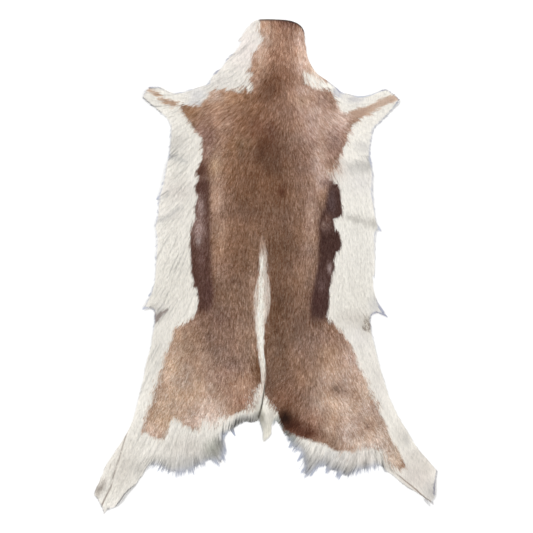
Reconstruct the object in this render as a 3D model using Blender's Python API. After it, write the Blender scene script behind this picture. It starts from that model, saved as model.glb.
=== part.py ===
"""Springbok hide rug: one whole tanned skin with its hair on, lying flat with the hair side up.

The neck points along +Y and the hair side along +Z. The skin lies on Z = 0, and the origin is under the
middle of the outline. The tables below are in millimetres, the built mesh is in metres.
"""

import math
import random
from collections import namedtuple

import bpy
import bmesh
import numpy as np
from mathutils import Vector, noise
from mathutils.geometry import delaunay_2d_cdt

MM = 0.001

LENGTH = 1050.0  # neck cut to the tip of the longer hind leg; the tables are drawn for this length
SKIN_EDGE = 1.3  # thickness of the bare rim
LOCK_TIP = 0.7  # thickness at the tip of a lock of hair
PILE = 5.4  # skin with its flat-lying hair, away from the rim
RIM_FALL = 8.0  # distance over which the pile sinks to the rim
BROAD_LUMPS = 0.9  # height of the slow unevenness of the coat
BROAD_SCALE = 85.0
CLUMPS = 0.6  # height of the clumps of hair
CLUMP_WIDTH = 22.0
CLUMP_LENGTH = 60.0  # clumps are longer along the back than across it

TOP_GRID = 16.0  # spacing of the points on the hair side
UNDER_GRID = 42.0  # spacing of the points on the flesh side
KEEP_OFF = 0.4  # a grid point stays this share of its spacing away from the rim
JITTER = 0.22  # unevenness of the grid, as a share of its spacing
FORM_PITCH = 13.0  # spacing of the points along the ridges and creases of the coat
LOCK_SPREAD = 6.0  # degrees that a lock strays from the lean of its run
LOCK_UNEVEN = 0.42  # share by which a lock may be shorter than its run's
ROOT_UNEVEN = 0.22  # share of the pitch by which the root of a lock strays
CREST_SHARE = 0.3  # how far along a lock its thickest place is
LOCK_FADE = 0.12  # share of a run over which its locks grow from nothing at each end
SEED = 11

Run = namedtuple("Run", "name pitch lock lean_from lean_to points")
Fold = namedtuple("Fold", "name height reach points")
Bump = namedtuple("Bump", "name x y reach height")

# The rim, clockwise seen from above, in runs between its corners. pitch is the distance between points, or
# between locks of hair where lock, their length, isn't 0. A lock points along its lean in degrees: 0 is +X
# and -90 is straight towards the tail. The points are where the tips of the hair end.
RIM = (
    Run("neck cut", 13, 0, 0, 0,
        ((-30, 516), (-12, 524), (41, 523), (65, 517), (77, 508), (82, 498))),
    Run("right neck", 14, 6, -60, -30,
        ((82, 498), (86, 476), (91, 446), (99, 426), (113, 406), (132, 393), (147, 382), (162, 368))),
    Run("right foreleg top", 13, 0, 0, 0,
        ((162, 368), (179, 366), (200, 359), (224, 364), (241, 371), (256, 375))),
    Run("right foreleg end", 7, 6, -5, -25,
        ((256, 375), (272, 366), (284, 353))),
    Run("right foreleg underside", 12, 5, -40, -60,
        ((284, 353), (272, 337), (258, 320), (240, 302), (230, 292), (226, 274), (222, 249), (220, 228))),
    Run("right flank", 15, 10, -62, -55,
        ((220, 228), (227, 200), (226, 173), (225, 154), (230, 130), (234, 103), (239, 82), (232, 70),
         (232, 52), (234, 16), (234, -7), (231, -26), (233, -52), (241, -80), (254, -103))),
    Run("right flank notch", 9, 0, 0, 0,
        ((254, -103), (238, -98), (228, -99), (223, -107), (222, -118))),
    Run("right hind leg outside", 16, 7, -50, -45,
        ((222, -118), (226, -145), (235, -181), (247, -226), (262, -272), (280, -313), (298, -344),
         (324, -387), (346, -412), (364, -434))),
    Run("right hind leg end", 6, 13, -62, -80,
        ((364, -434), (360, -461), (359, -488), (351, -499))),
    Run("right hind leg inside", 12, 0, 0, 0,
        ((351, -499), (331, -484), (300, -467), (275, -446), (253, -431))),
    Run("right rump lobe", 7.5, 25, -86, -104,
        ((253, -431), (238, -425), (209, -434), (196, -435), (173, -450), (155, -440), (137, -436),
         (120, -424), (106, -431), (92, -443), (84, -440))),
    Run("right inner rim", 8, 11, -128, -122,
        ((84, -440), (81, -425), (74, -395), (56, -381), (48, -368), (35, -351), (26, -333), (19, -325))),
    Run("tail flap", 7, 9, -72, -96,
        ((19, -325), (14, -332), (13, -353), (-3, -372))),
    Run("tail flap, left side", 12, 0, 0, 0,
        ((-3, -372), (-9, -345), (-13, -323))),
    Run("left inner rim", 8, 11, -84, -80,
        ((-13, -323), (-17, -328), (-29, -333), (-44, -331), (-60, -340), (-73, -349), (-90, -356))),
    Run("left rump lobe, side", 9, 10, -56, -68,
        ((-90, -356), (-83, -376), (-86, -392), (-94, -417))),
    Run("left rump lobe", 7.5, 25, -72, -92,
        ((-94, -417), (-113, -414), (-138, -425), (-159, -435), (-181, -438), (-202, -440), (-224, -428),
         (-241, -425), (-253, -428))),
    Run("left hind leg inside", 12, 5, -88, -96,
        ((-253, -428), (-268, -455), (-295, -481), (-308, -499), (-321, -511), (-336, -516),
         (-343, -525))),
    Run("left hind leg end", 6, 14, -108, -118,
        ((-343, -525), (-350, -508), (-363, -486))),
    Run("left hind leg outside", 16, 7, -132, -128,
        ((-363, -486), (-360, -472), (-350, -448), (-339, -422), (-325, -401), (-306, -372), (-291, -344),
         (-280, -318), (-268, -273), (-259, -234), (-253, -202), (-244, -172), (-240, -145),
         (-235, -118))),
    Run("left flank notch", 9, 0, 0, 0,
        ((-235, -118), (-235, -99), (-238, -91), (-257, -86))),
    Run("left flank", 15, 10, -124, -120,
        ((-257, -86), (-252, -76), (-243, -57), (-237, -35), (-235, -12), (-233, 14), (-231, 37),
         (-231, 62), (-235, 82), (-230, 101), (-228, 128), (-225, 149), (-220, 166), (-215, 188),
         (-210, 218), (-204, 232))),
    Run("left foreleg underside", 12, 5, -122, -140,
        ((-204, 232), (-204, 249), (-202, 279), (-203, 298), (-210, 312), (-222, 324), (-241, 340),
         (-260, 356))),
    Run("left foreleg end", 7, 6, -165, -175,
        ((-260, 356), (-259, 366), (-248, 378))),
    Run("left foreleg top", 13, 0, 0, 0,
        ((-248, 378), (-225, 380), (-207, 371), (-192, 367), (-171, 371), (-145, 380), (-120, 387))),
    Run("left neck", 9, 14, -158, -150,
        ((-120, 387), (-115, 397), (-108, 408), (-92, 425), (-75, 442), (-60, 462), (-54, 478),
         (-41, 503), (-30, 516))),
)

# The ridge of long white hair down the middle of the back: its half width by the distance along the back.
FAN_HEIGHT = 3.2
FAN_X = -3.0
FAN_SPREAD = 1.5  # the ridge's foot is this much wider than its white hair
Fan = namedtuple("Fan", "y half_width")
FAN = (
    Fan(62, 0), Fan(22, 9), Fan(-44, 17), Fan(-95, 18), Fan(-135, 13), Fan(-190, 9), Fan(-255, 6),
    Fan(-285, 0),
)

# Creases are troughs, with a negative height, and rolled edges are ridges. reach is the half width.
FOLDS = (
    Fold("crease down the left hind leg", -2.4, 9,
         ((-286, -333), (-306, -392), (-318, -434), (-330, -470), (-343, -500))),
    Fold("roll beside that crease", 2.0, 12,
         ((-268, -340), (-288, -396), (-301, -434), (-312, -472))),
    Fold("rolled rim of the right hind leg", 3.2, 11,
         ((258, -424), (278, -438), (303, -458), (331, -474), (347, -486))),
    Fold("crease into the tail", -1.6, 9,
         ((-3, -253), (-5, -277), (-8, -303), (-14, -318))),
    Fold("upper wave of the left flank", -1.8, 15, ((-204, 230), (-166, 262))),
    Fold("middle wave of the left flank", -1.8, 14, ((-222, 149), (-186, 185))),
    Fold("lower wave of the left flank", -1.6, 14, ((-228, 101), (-192, 134))),
    Fold("upper wave of the right flank", -1.8, 16, ((222, 222), (176, 205))),
    Fold("lower wave of the right flank", -1.6, 14, ((234, 100), (186, 96))),
)

# Small hollows in the coat of the hindquarters.
DIMPLES = (
    Bump("right thigh", 155, -262, 17, -1.5),
    Bump("right thigh side", 220, -338, 17, -1.5),
    Bump("right rump", 158, -348, 17, -1.3),
    Bump("left thigh", -176, -262, 19, -1.2),
    Bump("foot of the fan", -2, -292, 20, -1.2),
)

# Places by the rim where the skin stands off the floor.
LIFTS = (
    Bump("left flank, upper", -226, 190, 62, 5.0),
    Bump("left flank, lower", -240, 58, 70, 4.0),
    Bump("left flank tip", -262, -88, 40, 4.0),
    Bump("right flank, upper", 236, 168, 62, 4.5),
    Bump("right flank, lower", 246, 62, 66, 4.0),
    Bump("right flank tip", 260, -104, 40, 4.5),
    Bump("left foreleg", -272, 366, 56, 5.0),
    Bump("right foreleg", 292, 356, 60, 5.0),
    Bump("left hind leg, inside", -296, -494, 52, 4.5),
    Bump("right hind leg", 368, -470, 58, 5.0),
)


def catmull_rom(before, start, end, after, share):
    """The point at a share of the way from start to end on a curve through all four."""
    p0, p1, p2, p3 = (np.array(p, dtype=float) for p in (before, start, end, after))
    return 0.5 * (
        2 * p1
        + (p2 - p0) * share
        + (2 * p0 - 5 * p1 + 4 * p2 - p3) * share ** 2
        + (3 * p1 - p0 - 3 * p2 + p3) * share ** 3
    )


def even_points(points, pitch, rng=None):
    """Points about a pitch apart on a smooth curve through a run's own, with both of its ends."""
    fine = []
    padded = (points[0],) + tuple(points) + (points[-1],)
    for before, start, end, after in zip(padded, padded[1:], padded[2:], padded[3:]):
        fine += [catmull_rom(before, start, end, after, i / 8) for i in range(8)]
    fine = np.array(fine + [np.array(points[-1], dtype=float)])
    travelled = np.concatenate(([0.0], np.cumsum(np.hypot(*np.diff(fine, axis=0).T))))
    count = max(2, round(travelled[-1] / pitch) + 1)
    stops = np.linspace(0.0, travelled[-1], count)
    if rng:
        stops[1:-1] += [rng.uniform(-ROOT_UNEVEN, ROOT_UNEVEN) * pitch for _ in range(count - 2)]
    return np.column_stack([np.interp(stops, travelled, fine[:, i]) for i in range(2)])


def rim_points(rng):
    """The rim as (x, y, thickness) rows, and the crests of its locks as (x, y, height) rows."""
    rim = []
    crests = []
    for run in RIM:
        if not run.lock:
            rim += [(x, y, SKIN_EDGE) for x, y in even_points(run.points, run.pitch)[:-1]]
            continue
        line = even_points(run.points, run.pitch, rng)
        last = len(line) - 1
        roots = []
        for i, place in enumerate(line):
            share = i / last
            lean = math.radians(run.lean_from + (run.lean_to - run.lean_from) * share)
            length = run.lock * min(1.0, share / LOCK_FADE, (1.0 - share) / LOCK_FADE)
            roots.append(place - length * np.array((math.cos(lean), math.sin(lean))))
        for i in range(last):
            share = (i + 0.5) / last
            stray = rng.uniform(-LOCK_SPREAD, LOCK_SPREAD)
            lean = math.radians(run.lean_from + (run.lean_to - run.lean_from) * share + stray)
            fade = min(1.0, share / LOCK_FADE, (1.0 - share) / LOCK_FADE)
            length = run.lock * fade * rng.uniform(1.0 - LOCK_UNEVEN, 1.0)
            root = (roots[i] + roots[i + 1]) / 2
            reach = length * np.array((math.cos(lean), math.sin(lean)))
            tip = root + reach
            rim.append((*roots[i], SKIN_EDGE))
            rim.append((*tip, LOCK_TIP))
            crest = root + CREST_SHARE * reach
            crests.append((*crest, LOCK_TIP + 0.45 * (PILE - LOCK_TIP)))
    return rim, crests


def distance_to_line(points, line, closed):
    """How far each point is from a line of straight pieces."""
    line = np.asarray(line, dtype=float)
    starts = line if closed else line[:-1]
    steps = np.roll(line, -1, axis=0) - line if closed else np.diff(line, axis=0)
    offsets = points[:, None, :] - starts[None, :, :]
    along = np.clip((offsets * steps).sum(axis=2) / (steps ** 2).sum(axis=1), 0.0, 1.0)
    return np.hypot(*np.moveaxis(offsets - along[:, :, None] * steps, 2, 0)).min(axis=1)


def inside(points, rim):
    """Whether each point is inside the closed rim."""
    x, y = points[:, 0, None], points[:, 1, None]
    x0, y0 = rim[:, 0], rim[:, 1]
    x1, y1 = np.roll(x0, -1), np.roll(y0, -1)
    crosses = (y0 > y) != (y1 > y)
    level = np.where(y1 == y0, 1.0, y1 - y0)
    left_of = x < (x1 - x0) * (y - y0) / level + x0
    return (crosses & left_of).sum(axis=1) % 2 == 1


def grid_points(rim, spacing, rng, clear_of=None):
    """Uneven grid points inside the rim, away from it and from any points given."""
    low, high = rim.min(axis=0), rim.max(axis=0)
    rows = np.arange(low[1], high[1], spacing * math.sqrt(3) / 2)
    places = []
    for i, y in enumerate(rows):
        for x in np.arange(low[0] + (i % 2) * spacing / 2, high[0], spacing):
            places.append((x + rng.uniform(-1, 1) * spacing * JITTER,
                           y + rng.uniform(-1, 1) * spacing * JITTER))
    places = np.array(places)
    places = places[inside(places, rim)]
    places = places[distance_to_line(places, rim, True) > KEEP_OFF * spacing]
    if clear_of is not None and len(clear_of):
        gaps = np.hypot(*np.moveaxis(places[:, None, :] - clear_of[None, :, :], 2, 0)).min(axis=1)
        places = places[gaps > KEEP_OFF * spacing]
    return places


def round_bump(distance, reach):
    """1 in the middle of a round bump and exactly 0 from its reach outwards."""
    return np.clip(1.0 - (distance / reach) ** 2, 0.0, 1.0) ** 2


def form_points():
    """Points along the crests of the folds and along the crest and both feet of the ridge of long hair."""
    places = []
    for fold in FOLDS:
        places += list(even_points(fold.points, FORM_PITCH))
    crest = even_points([(FAN_X, row.y) for row in FAN], FORM_PITCH)
    places += list(crest)
    for x, y in crest:
        foot = FAN_SPREAD * fan_half_width(y)
        if foot > FORM_PITCH / 2:
            places += [(x - foot, y), (x + foot, y)]
    return np.array(places)


def fan_half_width(y):
    """Half the width of the ridge of long hair at a place along the back."""
    rows = FAN[::-1]
    return np.interp(y, [row.y for row in rows], [row.half_width for row in rows])


def lift_at(points):
    """How far the skin stands off the floor."""
    lift = np.zeros(len(points))
    for bump in LIFTS:
        distance = np.hypot(points[:, 0] - bump.x, points[:, 1] - bump.y)
        lift = np.maximum(lift, bump.height * round_bump(distance, bump.reach))
    return lift


def coat_at(points, rim):
    """Thickness of the skin with its hair, at points inside the rim."""
    coat = np.full(len(points), PILE)
    for i, (x, y) in enumerate(points):
        broad = noise.noise(Vector((x / BROAD_SCALE, y / BROAD_SCALE, 0.0)))
        clump = noise.noise(Vector((x / CLUMP_WIDTH, y / CLUMP_LENGTH, 5.0)))
        coat[i] += BROAD_LUMPS * broad + CLUMPS * clump
    foot = np.maximum(FAN_SPREAD * fan_half_width(points[:, 1]), 0.1)
    coat += FAN_HEIGHT * round_bump(points[:, 0] - FAN_X, foot)
    for fold in FOLDS:
        coat += fold.height * round_bump(distance_to_line(points, fold.points, False), fold.reach)
    for bump in DIMPLES:
        distance = np.hypot(points[:, 0] - bump.x, points[:, 1] - bump.y)
        coat += bump.height * round_bump(distance, bump.reach)
    to_rim = distance_to_line(points, rim, True)
    return SKIN_EDGE + (coat - SKIN_EDGE) * (1.0 - np.exp(-to_rim / RIM_FALL))


def triangles(places, rim_count):
    """Triangles that fill the rim, whose points come first, and pass through the other places."""
    points = [Vector(place) for place in places]
    loop = list(range(rim_count))
    inside_only = 1
    _, _, faces, sources, _, _ = delaunay_2d_cdt(points, [], [loop], inside_only, 1e-5)
    return [[sources[i][0] for i in face] for face in faces]


def hide_mesh():
    """The closed mesh of the hide: hair side, flesh side and the thin wall between them."""
    rng = random.Random(SEED)
    rim, crests = rim_points(rng)
    rim = np.array(rim)
    crests = np.array(crests)
    middle = (rim[:, :2].min(axis=0) + rim[:, :2].max(axis=0)) / 2
    rim[:, :2] -= middle
    crests[:, :2] -= middle
    outline = rim[:, :2]
    crests = crests[inside(crests[:, :2], outline)]

    forms = form_points()
    forms = forms[inside(forms, outline)]
    forms = forms[distance_to_line(forms, outline, True) > KEEP_OFF * FORM_PITCH]
    field = grid_points(outline, TOP_GRID, rng, np.concatenate((crests[:, :2], forms)))
    field = np.concatenate((forms, field))
    top_places = np.concatenate((outline, crests[:, :2], field))
    top_coat = np.concatenate((rim[:, 2], crests[:, 2], coat_at(field, outline)))
    top_z = lift_at(top_places) + top_coat

    under_field = grid_points(outline, UNDER_GRID, rng)
    under_places = np.concatenate((outline, under_field))
    under_z = lift_at(under_places)

    grow = LENGTH / np.ptp(outline[:, 1]) * MM
    vertices = [(x * grow, y * grow, z * MM) for (x, y), z in zip(top_places, top_z)]
    vertices += [(x * grow, y * grow, z * MM) for (x, y), z in zip(under_places, under_z)]
    under = len(top_places)
    count = len(outline)
    faces = triangles(top_places, count)
    faces += [[under + i for i in reversed(face)] for face in triangles(under_places, count)]
    faces += [(i, (i + 1) % count, under + (i + 1) % count, under + i) for i in range(count)]

    mesh = bpy.data.meshes.new("hide")
    mesh.from_pydata(vertices, [], faces)
    work = bmesh.new()
    work.from_mesh(mesh)
    bmesh.ops.triangulate(work, faces=work.faces)
    bmesh.ops.recalc_face_normals(work, faces=work.faces)
    work.to_mesh(mesh)
    work.free()
    mesh.shade_smooth()
    mesh.set_sharp_from_angle(angle=math.radians(50))
    return mesh


def coat_material():
    """Short brown hair with little shine."""
    material = bpy.data.materials.new("hide_coat")
    material.use_nodes = True
    shader = material.node_tree.nodes["Principled BSDF"]
    shader.inputs["Base Color"].default_value = (0.30, 0.19, 0.12, 1.0)
    shader.inputs["Roughness"].default_value = 0.75
    shader.inputs["Metallic"].default_value = 0.0
    return material


def main():
    for old in list(bpy.data.objects):
        bpy.data.objects.remove(old)
    hide = bpy.data.objects.new("hide", hide_mesh())
    hide.data.materials.append(coat_material())
    bpy.context.scene.collection.objects.link(hide)


main()
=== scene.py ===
"""Springbok hide rug: a thin tanned skin lying on the floor, and its hair as joined meshes of fine blades.

Places in the tables are millimetres from the middle of the hide, x to the right and y towards the neck.
Directions are degrees: 0 is along +X, 90 towards the neck and -90 towards the tail. Colours are sRGB, 0 to
255, as seen.
"""

import math
from collections import namedtuple

import bpy
import numpy as np
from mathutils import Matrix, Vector
from mathutils.geometry import delaunay_2d_cdt


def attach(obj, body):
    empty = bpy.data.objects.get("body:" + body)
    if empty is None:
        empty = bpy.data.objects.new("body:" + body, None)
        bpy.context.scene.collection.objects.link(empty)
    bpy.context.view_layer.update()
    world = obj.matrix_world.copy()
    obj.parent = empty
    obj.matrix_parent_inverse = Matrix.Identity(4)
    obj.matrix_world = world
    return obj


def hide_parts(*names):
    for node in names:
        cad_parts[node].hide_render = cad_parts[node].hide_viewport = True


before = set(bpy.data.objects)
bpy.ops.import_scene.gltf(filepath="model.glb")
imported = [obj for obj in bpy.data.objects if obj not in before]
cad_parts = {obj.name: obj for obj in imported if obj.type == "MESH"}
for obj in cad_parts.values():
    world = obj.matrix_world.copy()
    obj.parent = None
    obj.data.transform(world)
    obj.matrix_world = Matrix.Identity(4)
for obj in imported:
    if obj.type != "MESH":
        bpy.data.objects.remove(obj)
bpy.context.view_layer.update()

MM = 0.001

# The sheet and its cut.
SKIN_THICKNESS = 1.2
SKIN_GRID = 8.0
RIM_PITCH = 5.0

# The coat.
PILE = 5.4  # skin with its flat-lying hair
RIM_PILE = 2.2  # the same at the rim
RIM_FALL = 9.0  # distance over which the pile sinks to the rim
UNDERCOAT = 0.62  # share of the coat's height that is filled by its dense fine hair
UNDERCOAT_GRID = 6.0
DROOP = 26.0  # distance beyond the rim over which loose hair sinks to the floor
FLOOR_GAP = 0.4  # hair stays this far above the floor

# The kinds of rows in the tables.
Run = namedtuple("Run", "name lock lean_from lean_to points")
Fold = namedtuple("Fold", "name height reach points")
Bump = namedtuple("Bump", "name x y reach height")
Lay = namedtuple("Lay", "name x y angle reach")
Tint = namedtuple("Tint", "name x y reach_x reach_y colour strength")
Line = namedtuple("Line", "name width_from width_to soft strength colour points")
Wisp = namedtuple("Wisp", "name x y tip_x tip_y half")
Fan = namedtuple("Fan", "y left core right")
Stripe = namedtuple("Stripe", "y left left_dark right right_dark")
Patches = namedtuple("Patches", "strength wide long seed")
Grain = namedtuple("Grain", "fine lock single")
Shade = namedtuple("Shade", "name x y reach strength depth_from depth_to")


def table(kind, *rows):
    """Rows of one kind, with their columns named."""
    return tuple(kind(*row) for row in rows)


# The rim, clockwise seen from above, in runs between its corners. The points are where the tips of the
# hair end. The skin's cut edge lies a lock's length behind them, along the lean of the hair there.
RIM = table(
    Run,
    ("neck cut", 0, 0, 0,
        ((-30, 516), (-12, 524), (41, 523), (65, 517), (77, 508), (82, 498))),
    ("right neck", 6, -60, -30,
        ((82, 498), (86, 476), (91, 446), (99, 426), (113, 406), (132, 393), (147, 382), (162, 368))),
    ("right foreleg top", 2, 0, 0,
        ((162, 368), (179, 366), (200, 359), (224, 364), (241, 371), (256, 375))),
    ("right foreleg end", 6, -5, -25,
        ((256, 375), (272, 366), (284, 353))),
    ("right foreleg underside", 5, -40, -60,
        ((284, 353), (272, 337), (258, 320), (240, 302), (230, 292), (226, 274), (222, 249), (220, 228))),
    ("right flank", 10, -62, -55,
        ((220, 228), (227, 200), (226, 173), (225, 154), (230, 130), (234, 103), (239, 82), (232, 70),
         (232, 52), (234, 16), (234, -7), (231, -26), (233, -52), (241, -80), (254, -103))),
    ("right flank notch", 0, 0, 0,
        ((254, -103), (238, -98), (228, -99), (223, -107), (222, -118))),
    ("right hind leg outside", 7, -50, -45,
        ((222, -118), (226, -145), (235, -181), (247, -226), (262, -272), (280, -313), (298, -344),
         (324, -387), (346, -412), (364, -434))),
    ("right hind leg end", 13, -62, -80,
        ((364, -434), (360, -461), (359, -488), (351, -499))),
    ("right hind leg inside", 0, 0, 0,
        ((351, -499), (331, -484), (300, -467), (275, -446), (253, -431))),
    ("right rump lobe", 25, -86, -104,
        ((253, -431), (238, -425), (209, -434), (196, -435), (173, -450), (155, -440), (137, -436),
         (120, -424), (106, -431), (92, -443), (84, -440))),
    ("right inner rim", 11, -128, -122,
        ((84, -440), (81, -425), (74, -395), (56, -381), (48, -368), (35, -351), (26, -333), (19, -325))),
    ("tail flap", 9, -72, -96,
        ((19, -325), (14, -334), (13, -346), (12, -357), (-4, -373))),
    ("tail flap, left side", 0, 0, 0,
        ((-4, -373), (-5, -360), (-6, -344), (-14, -324))),
    ("left inner rim", 11, -84, -80,
        ((-13, -323), (-17, -328), (-29, -333), (-44, -331), (-60, -340), (-73, -349), (-90, -356))),
    ("left rump lobe, side", 10, -56, -68,
        ((-90, -356), (-83, -376), (-86, -392), (-94, -417))),
    ("left rump lobe", 25, -72, -92,
        ((-94, -417), (-113, -414), (-138, -425), (-159, -435), (-181, -438), (-202, -440), (-224, -428),
         (-241, -425), (-253, -428))),
    ("left hind leg inside", 5, -88, -96,
        ((-253, -428), (-268, -455), (-295, -481), (-308, -499), (-321, -511), (-336, -516),
         (-343, -525))),
    ("left hind leg end", 14, -108, -118,
        ((-343, -525), (-350, -508), (-363, -486))),
    ("left hind leg outside", 7, -132, -128,
        ((-363, -486), (-360, -472), (-350, -448), (-339, -422), (-325, -401), (-306, -372),
         (-291, -344), (-280, -318), (-268, -273), (-259, -234), (-253, -202), (-244, -172),
         (-240, -145), (-235, -118))),
    ("left flank notch", 0, 0, 0,
        ((-235, -118), (-235, -99), (-238, -91), (-257, -86))),
    ("left flank", 10, -124, -120,
        ((-257, -86), (-252, -76), (-243, -57), (-237, -35), (-235, -12), (-233, 14), (-231, 37),
         (-231, 62), (-235, 82), (-230, 101), (-228, 128), (-225, 149), (-220, 166), (-215, 188),
         (-210, 218), (-204, 232))),
    ("left foreleg underside", 5, -122, -140,
        ((-204, 232), (-204, 249), (-202, 279), (-203, 298), (-210, 312), (-222, 324), (-241, 340),
         (-260, 356))),
    ("left foreleg end", 6, -165, -175,
        ((-260, 356), (-259, 366), (-248, 378))),
    ("left foreleg top", 2, 180, 180,
        ((-248, 378), (-225, 380), (-207, 371), (-192, 367), (-171, 371), (-145, 380), (-120, 387))),
    ("left neck", 15, -158, -150,
        ((-120, 387), (-117, 398), (-111, 409), (-96, 424), (-85, 437), (-74, 450), (-61, 463), (-55, 473),
         (-56, 481), (-49, 495), (-41, 508), (-30, 516))),
)
LOCK_FADE = 0.12  # share of a run over which its locks grow from nothing at each end
TAIL_MIDDLE = 2  # x of the middle of the tail flap

LEG_CREASE = ((-284, -325), (-294, -351), (-304, -385), (-311, -410), (-323, -446), (-328, -469),
              (-338, -487), (-348, -508))
LEG_GROOVE = ((262, -428), (286, -446), (299, -457), (316, -470), (329, -482), (339, -491), (350, -498))

# Creases are troughs, with a negative height, and rolled edges are ridges. reach is the half width.
FOLDS = table(
    Fold,
    ("crease down the left hind leg", -2.8, 6, LEG_CREASE),
    ("roll beside that crease", 2.0, 11,
        ((-268, -340), (-288, -396), (-303, -440), (-316, -480))),
    ("outer roll of the left hind leg", 1.6, 8,
        ((-318, -420), (-334, -456), (-346, -486))),
    ("rolled rim of the right hind leg", 2.4, 7,
        ((262, -434), (282, -449), (302, -463), (320, -476), (336, -488))),
    ("groove behind that rim", -2.4, 5, LEG_GROOVE),
    ("upper fold of the right hind leg", -1.6, 9, ((295, -352), (296, -378))),
    ("lower fold of the right hind leg", -1.4, 12, ((306, -392), (330, -416), (352, -432))),
    ("crease into the tail", -1.8, 7,
        ((-3, -253), (-5, -277), (-8, -303), (-14, -318))),
    ("upper wave of the left flank", -2.0, 15, ((-204, 230), (-166, 262))),
    ("middle wave of the left flank", -2.0, 14, ((-222, 149), (-186, 185))),
    ("lower wave of the left flank", -1.8, 14, ((-228, 101), (-192, 134))),
    ("upper wave of the right flank", -2.0, 16, ((222, 222), (176, 205))),
    ("lower wave of the right flank", -1.8, 14, ((234, 100), (186, 96))),
)

# Small hollows in the coat of the hindquarters.
DIMPLES = table(
    Bump,
    ("right thigh", 155, -262, 15, -2.0),
    ("right thigh side", 220, -338, 15, -2.0),
    ("right rump", 158, -348, 15, -1.6),
    ("left thigh", -176, -262, 19, -1.2),
    ("foot of the fan", -2, -292, 20, -1.2),
)

# Places by the rim where the skin stands off the floor.
LIFTS = table(
    Bump,
    ("left flank, upper", -226, 190, 62, 5.0),
    ("left flank, lower", -240, 58, 70, 4.0),
    ("left flank tip", -262, -88, 40, 4.0),
    ("right flank, upper", 236, 168, 62, 4.5),
    ("right flank, lower", 246, 62, 66, 4.0),
    ("right flank tip", 260, -104, 40, 4.5),
    ("left foreleg", -272, 366, 56, 5.0),
    ("right foreleg", 292, 356, 60, 5.0),
    ("left hind leg, inside", -296, -494, 52, 4.5),
    ("right hind leg", 368, -470, 58, 5.0),
)

# Single wisps that pass the outline: the middle of their roots, their tip, and half their width at the roots.
WISPS = table(
    Wisp,
    ("left flank tip", -244, -78, -262, -92, 4), ("above that tip", -234, -50, -249, -64, 3),
    ("right flank tip", 240, -92, 259, -108, 3), ("left inner rim", -77, -332, -64, -361, 4),
    ("beside it", -88, -338, -83, -358, 3), ("left lobe, side", -98, -366, -84, -394, 4),
    ("left lobe, corner", -105, -392, -95, -416, 3), ("right lobe, corner", 102, -414, 88, -445, 4),
    ("right lobe, next", 110, -418, 94, -447, 3), ("right lobe, third", 138, -416, 127, -440, 3),
    ("right foot", 344, -488, 356, -506, 3), ("right foot, low", 336, -490, 350, -510, 3),
    ("left middle wave", -220, 152, -232, 141, 3), ("right flank notch", 232, 92, 245, 74, 3),
    ("left neck", -42, 488, -60, 477, 3),
)
WISP_HAIRS = 44  # in each wisp

# The fan: long white hair down the middle of the back, with its edges and its brightest line at each y.
FAN_HEIGHT = 3.0
FAN_SPREAD = 1.5  # half width of the ridge under it, where the fan's own is 1
FAN_SPLAY = 0.15  # how much further out the tips of its hairs lie
FAN = table(
    Fan,
    (92, -10, -6, -1), (74, -12, -6, 0), (50, -13, -6.5, 1), (20, -14.5, -8, 4), (0, -12.5, -8, 2.5),
    (-20, -17, -8.5, 6), (-50, -22, -9, 10), (-80, -23, -9.5, 8), (-100, -23, -10.5, 3.5),
    (-120, -22, -11, -1.5), (-140, -20, -11, -2), (-170, -16, -9.5, -3.5), (-190, -14, -8, -3.5),
    (-210, -11, -6, -1.5), (-230, -9, -5, -1), (-250, -8.5, -5, -2), (-270, -7, -5, -3.5), (-290, -9, -8, -7),
)

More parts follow.
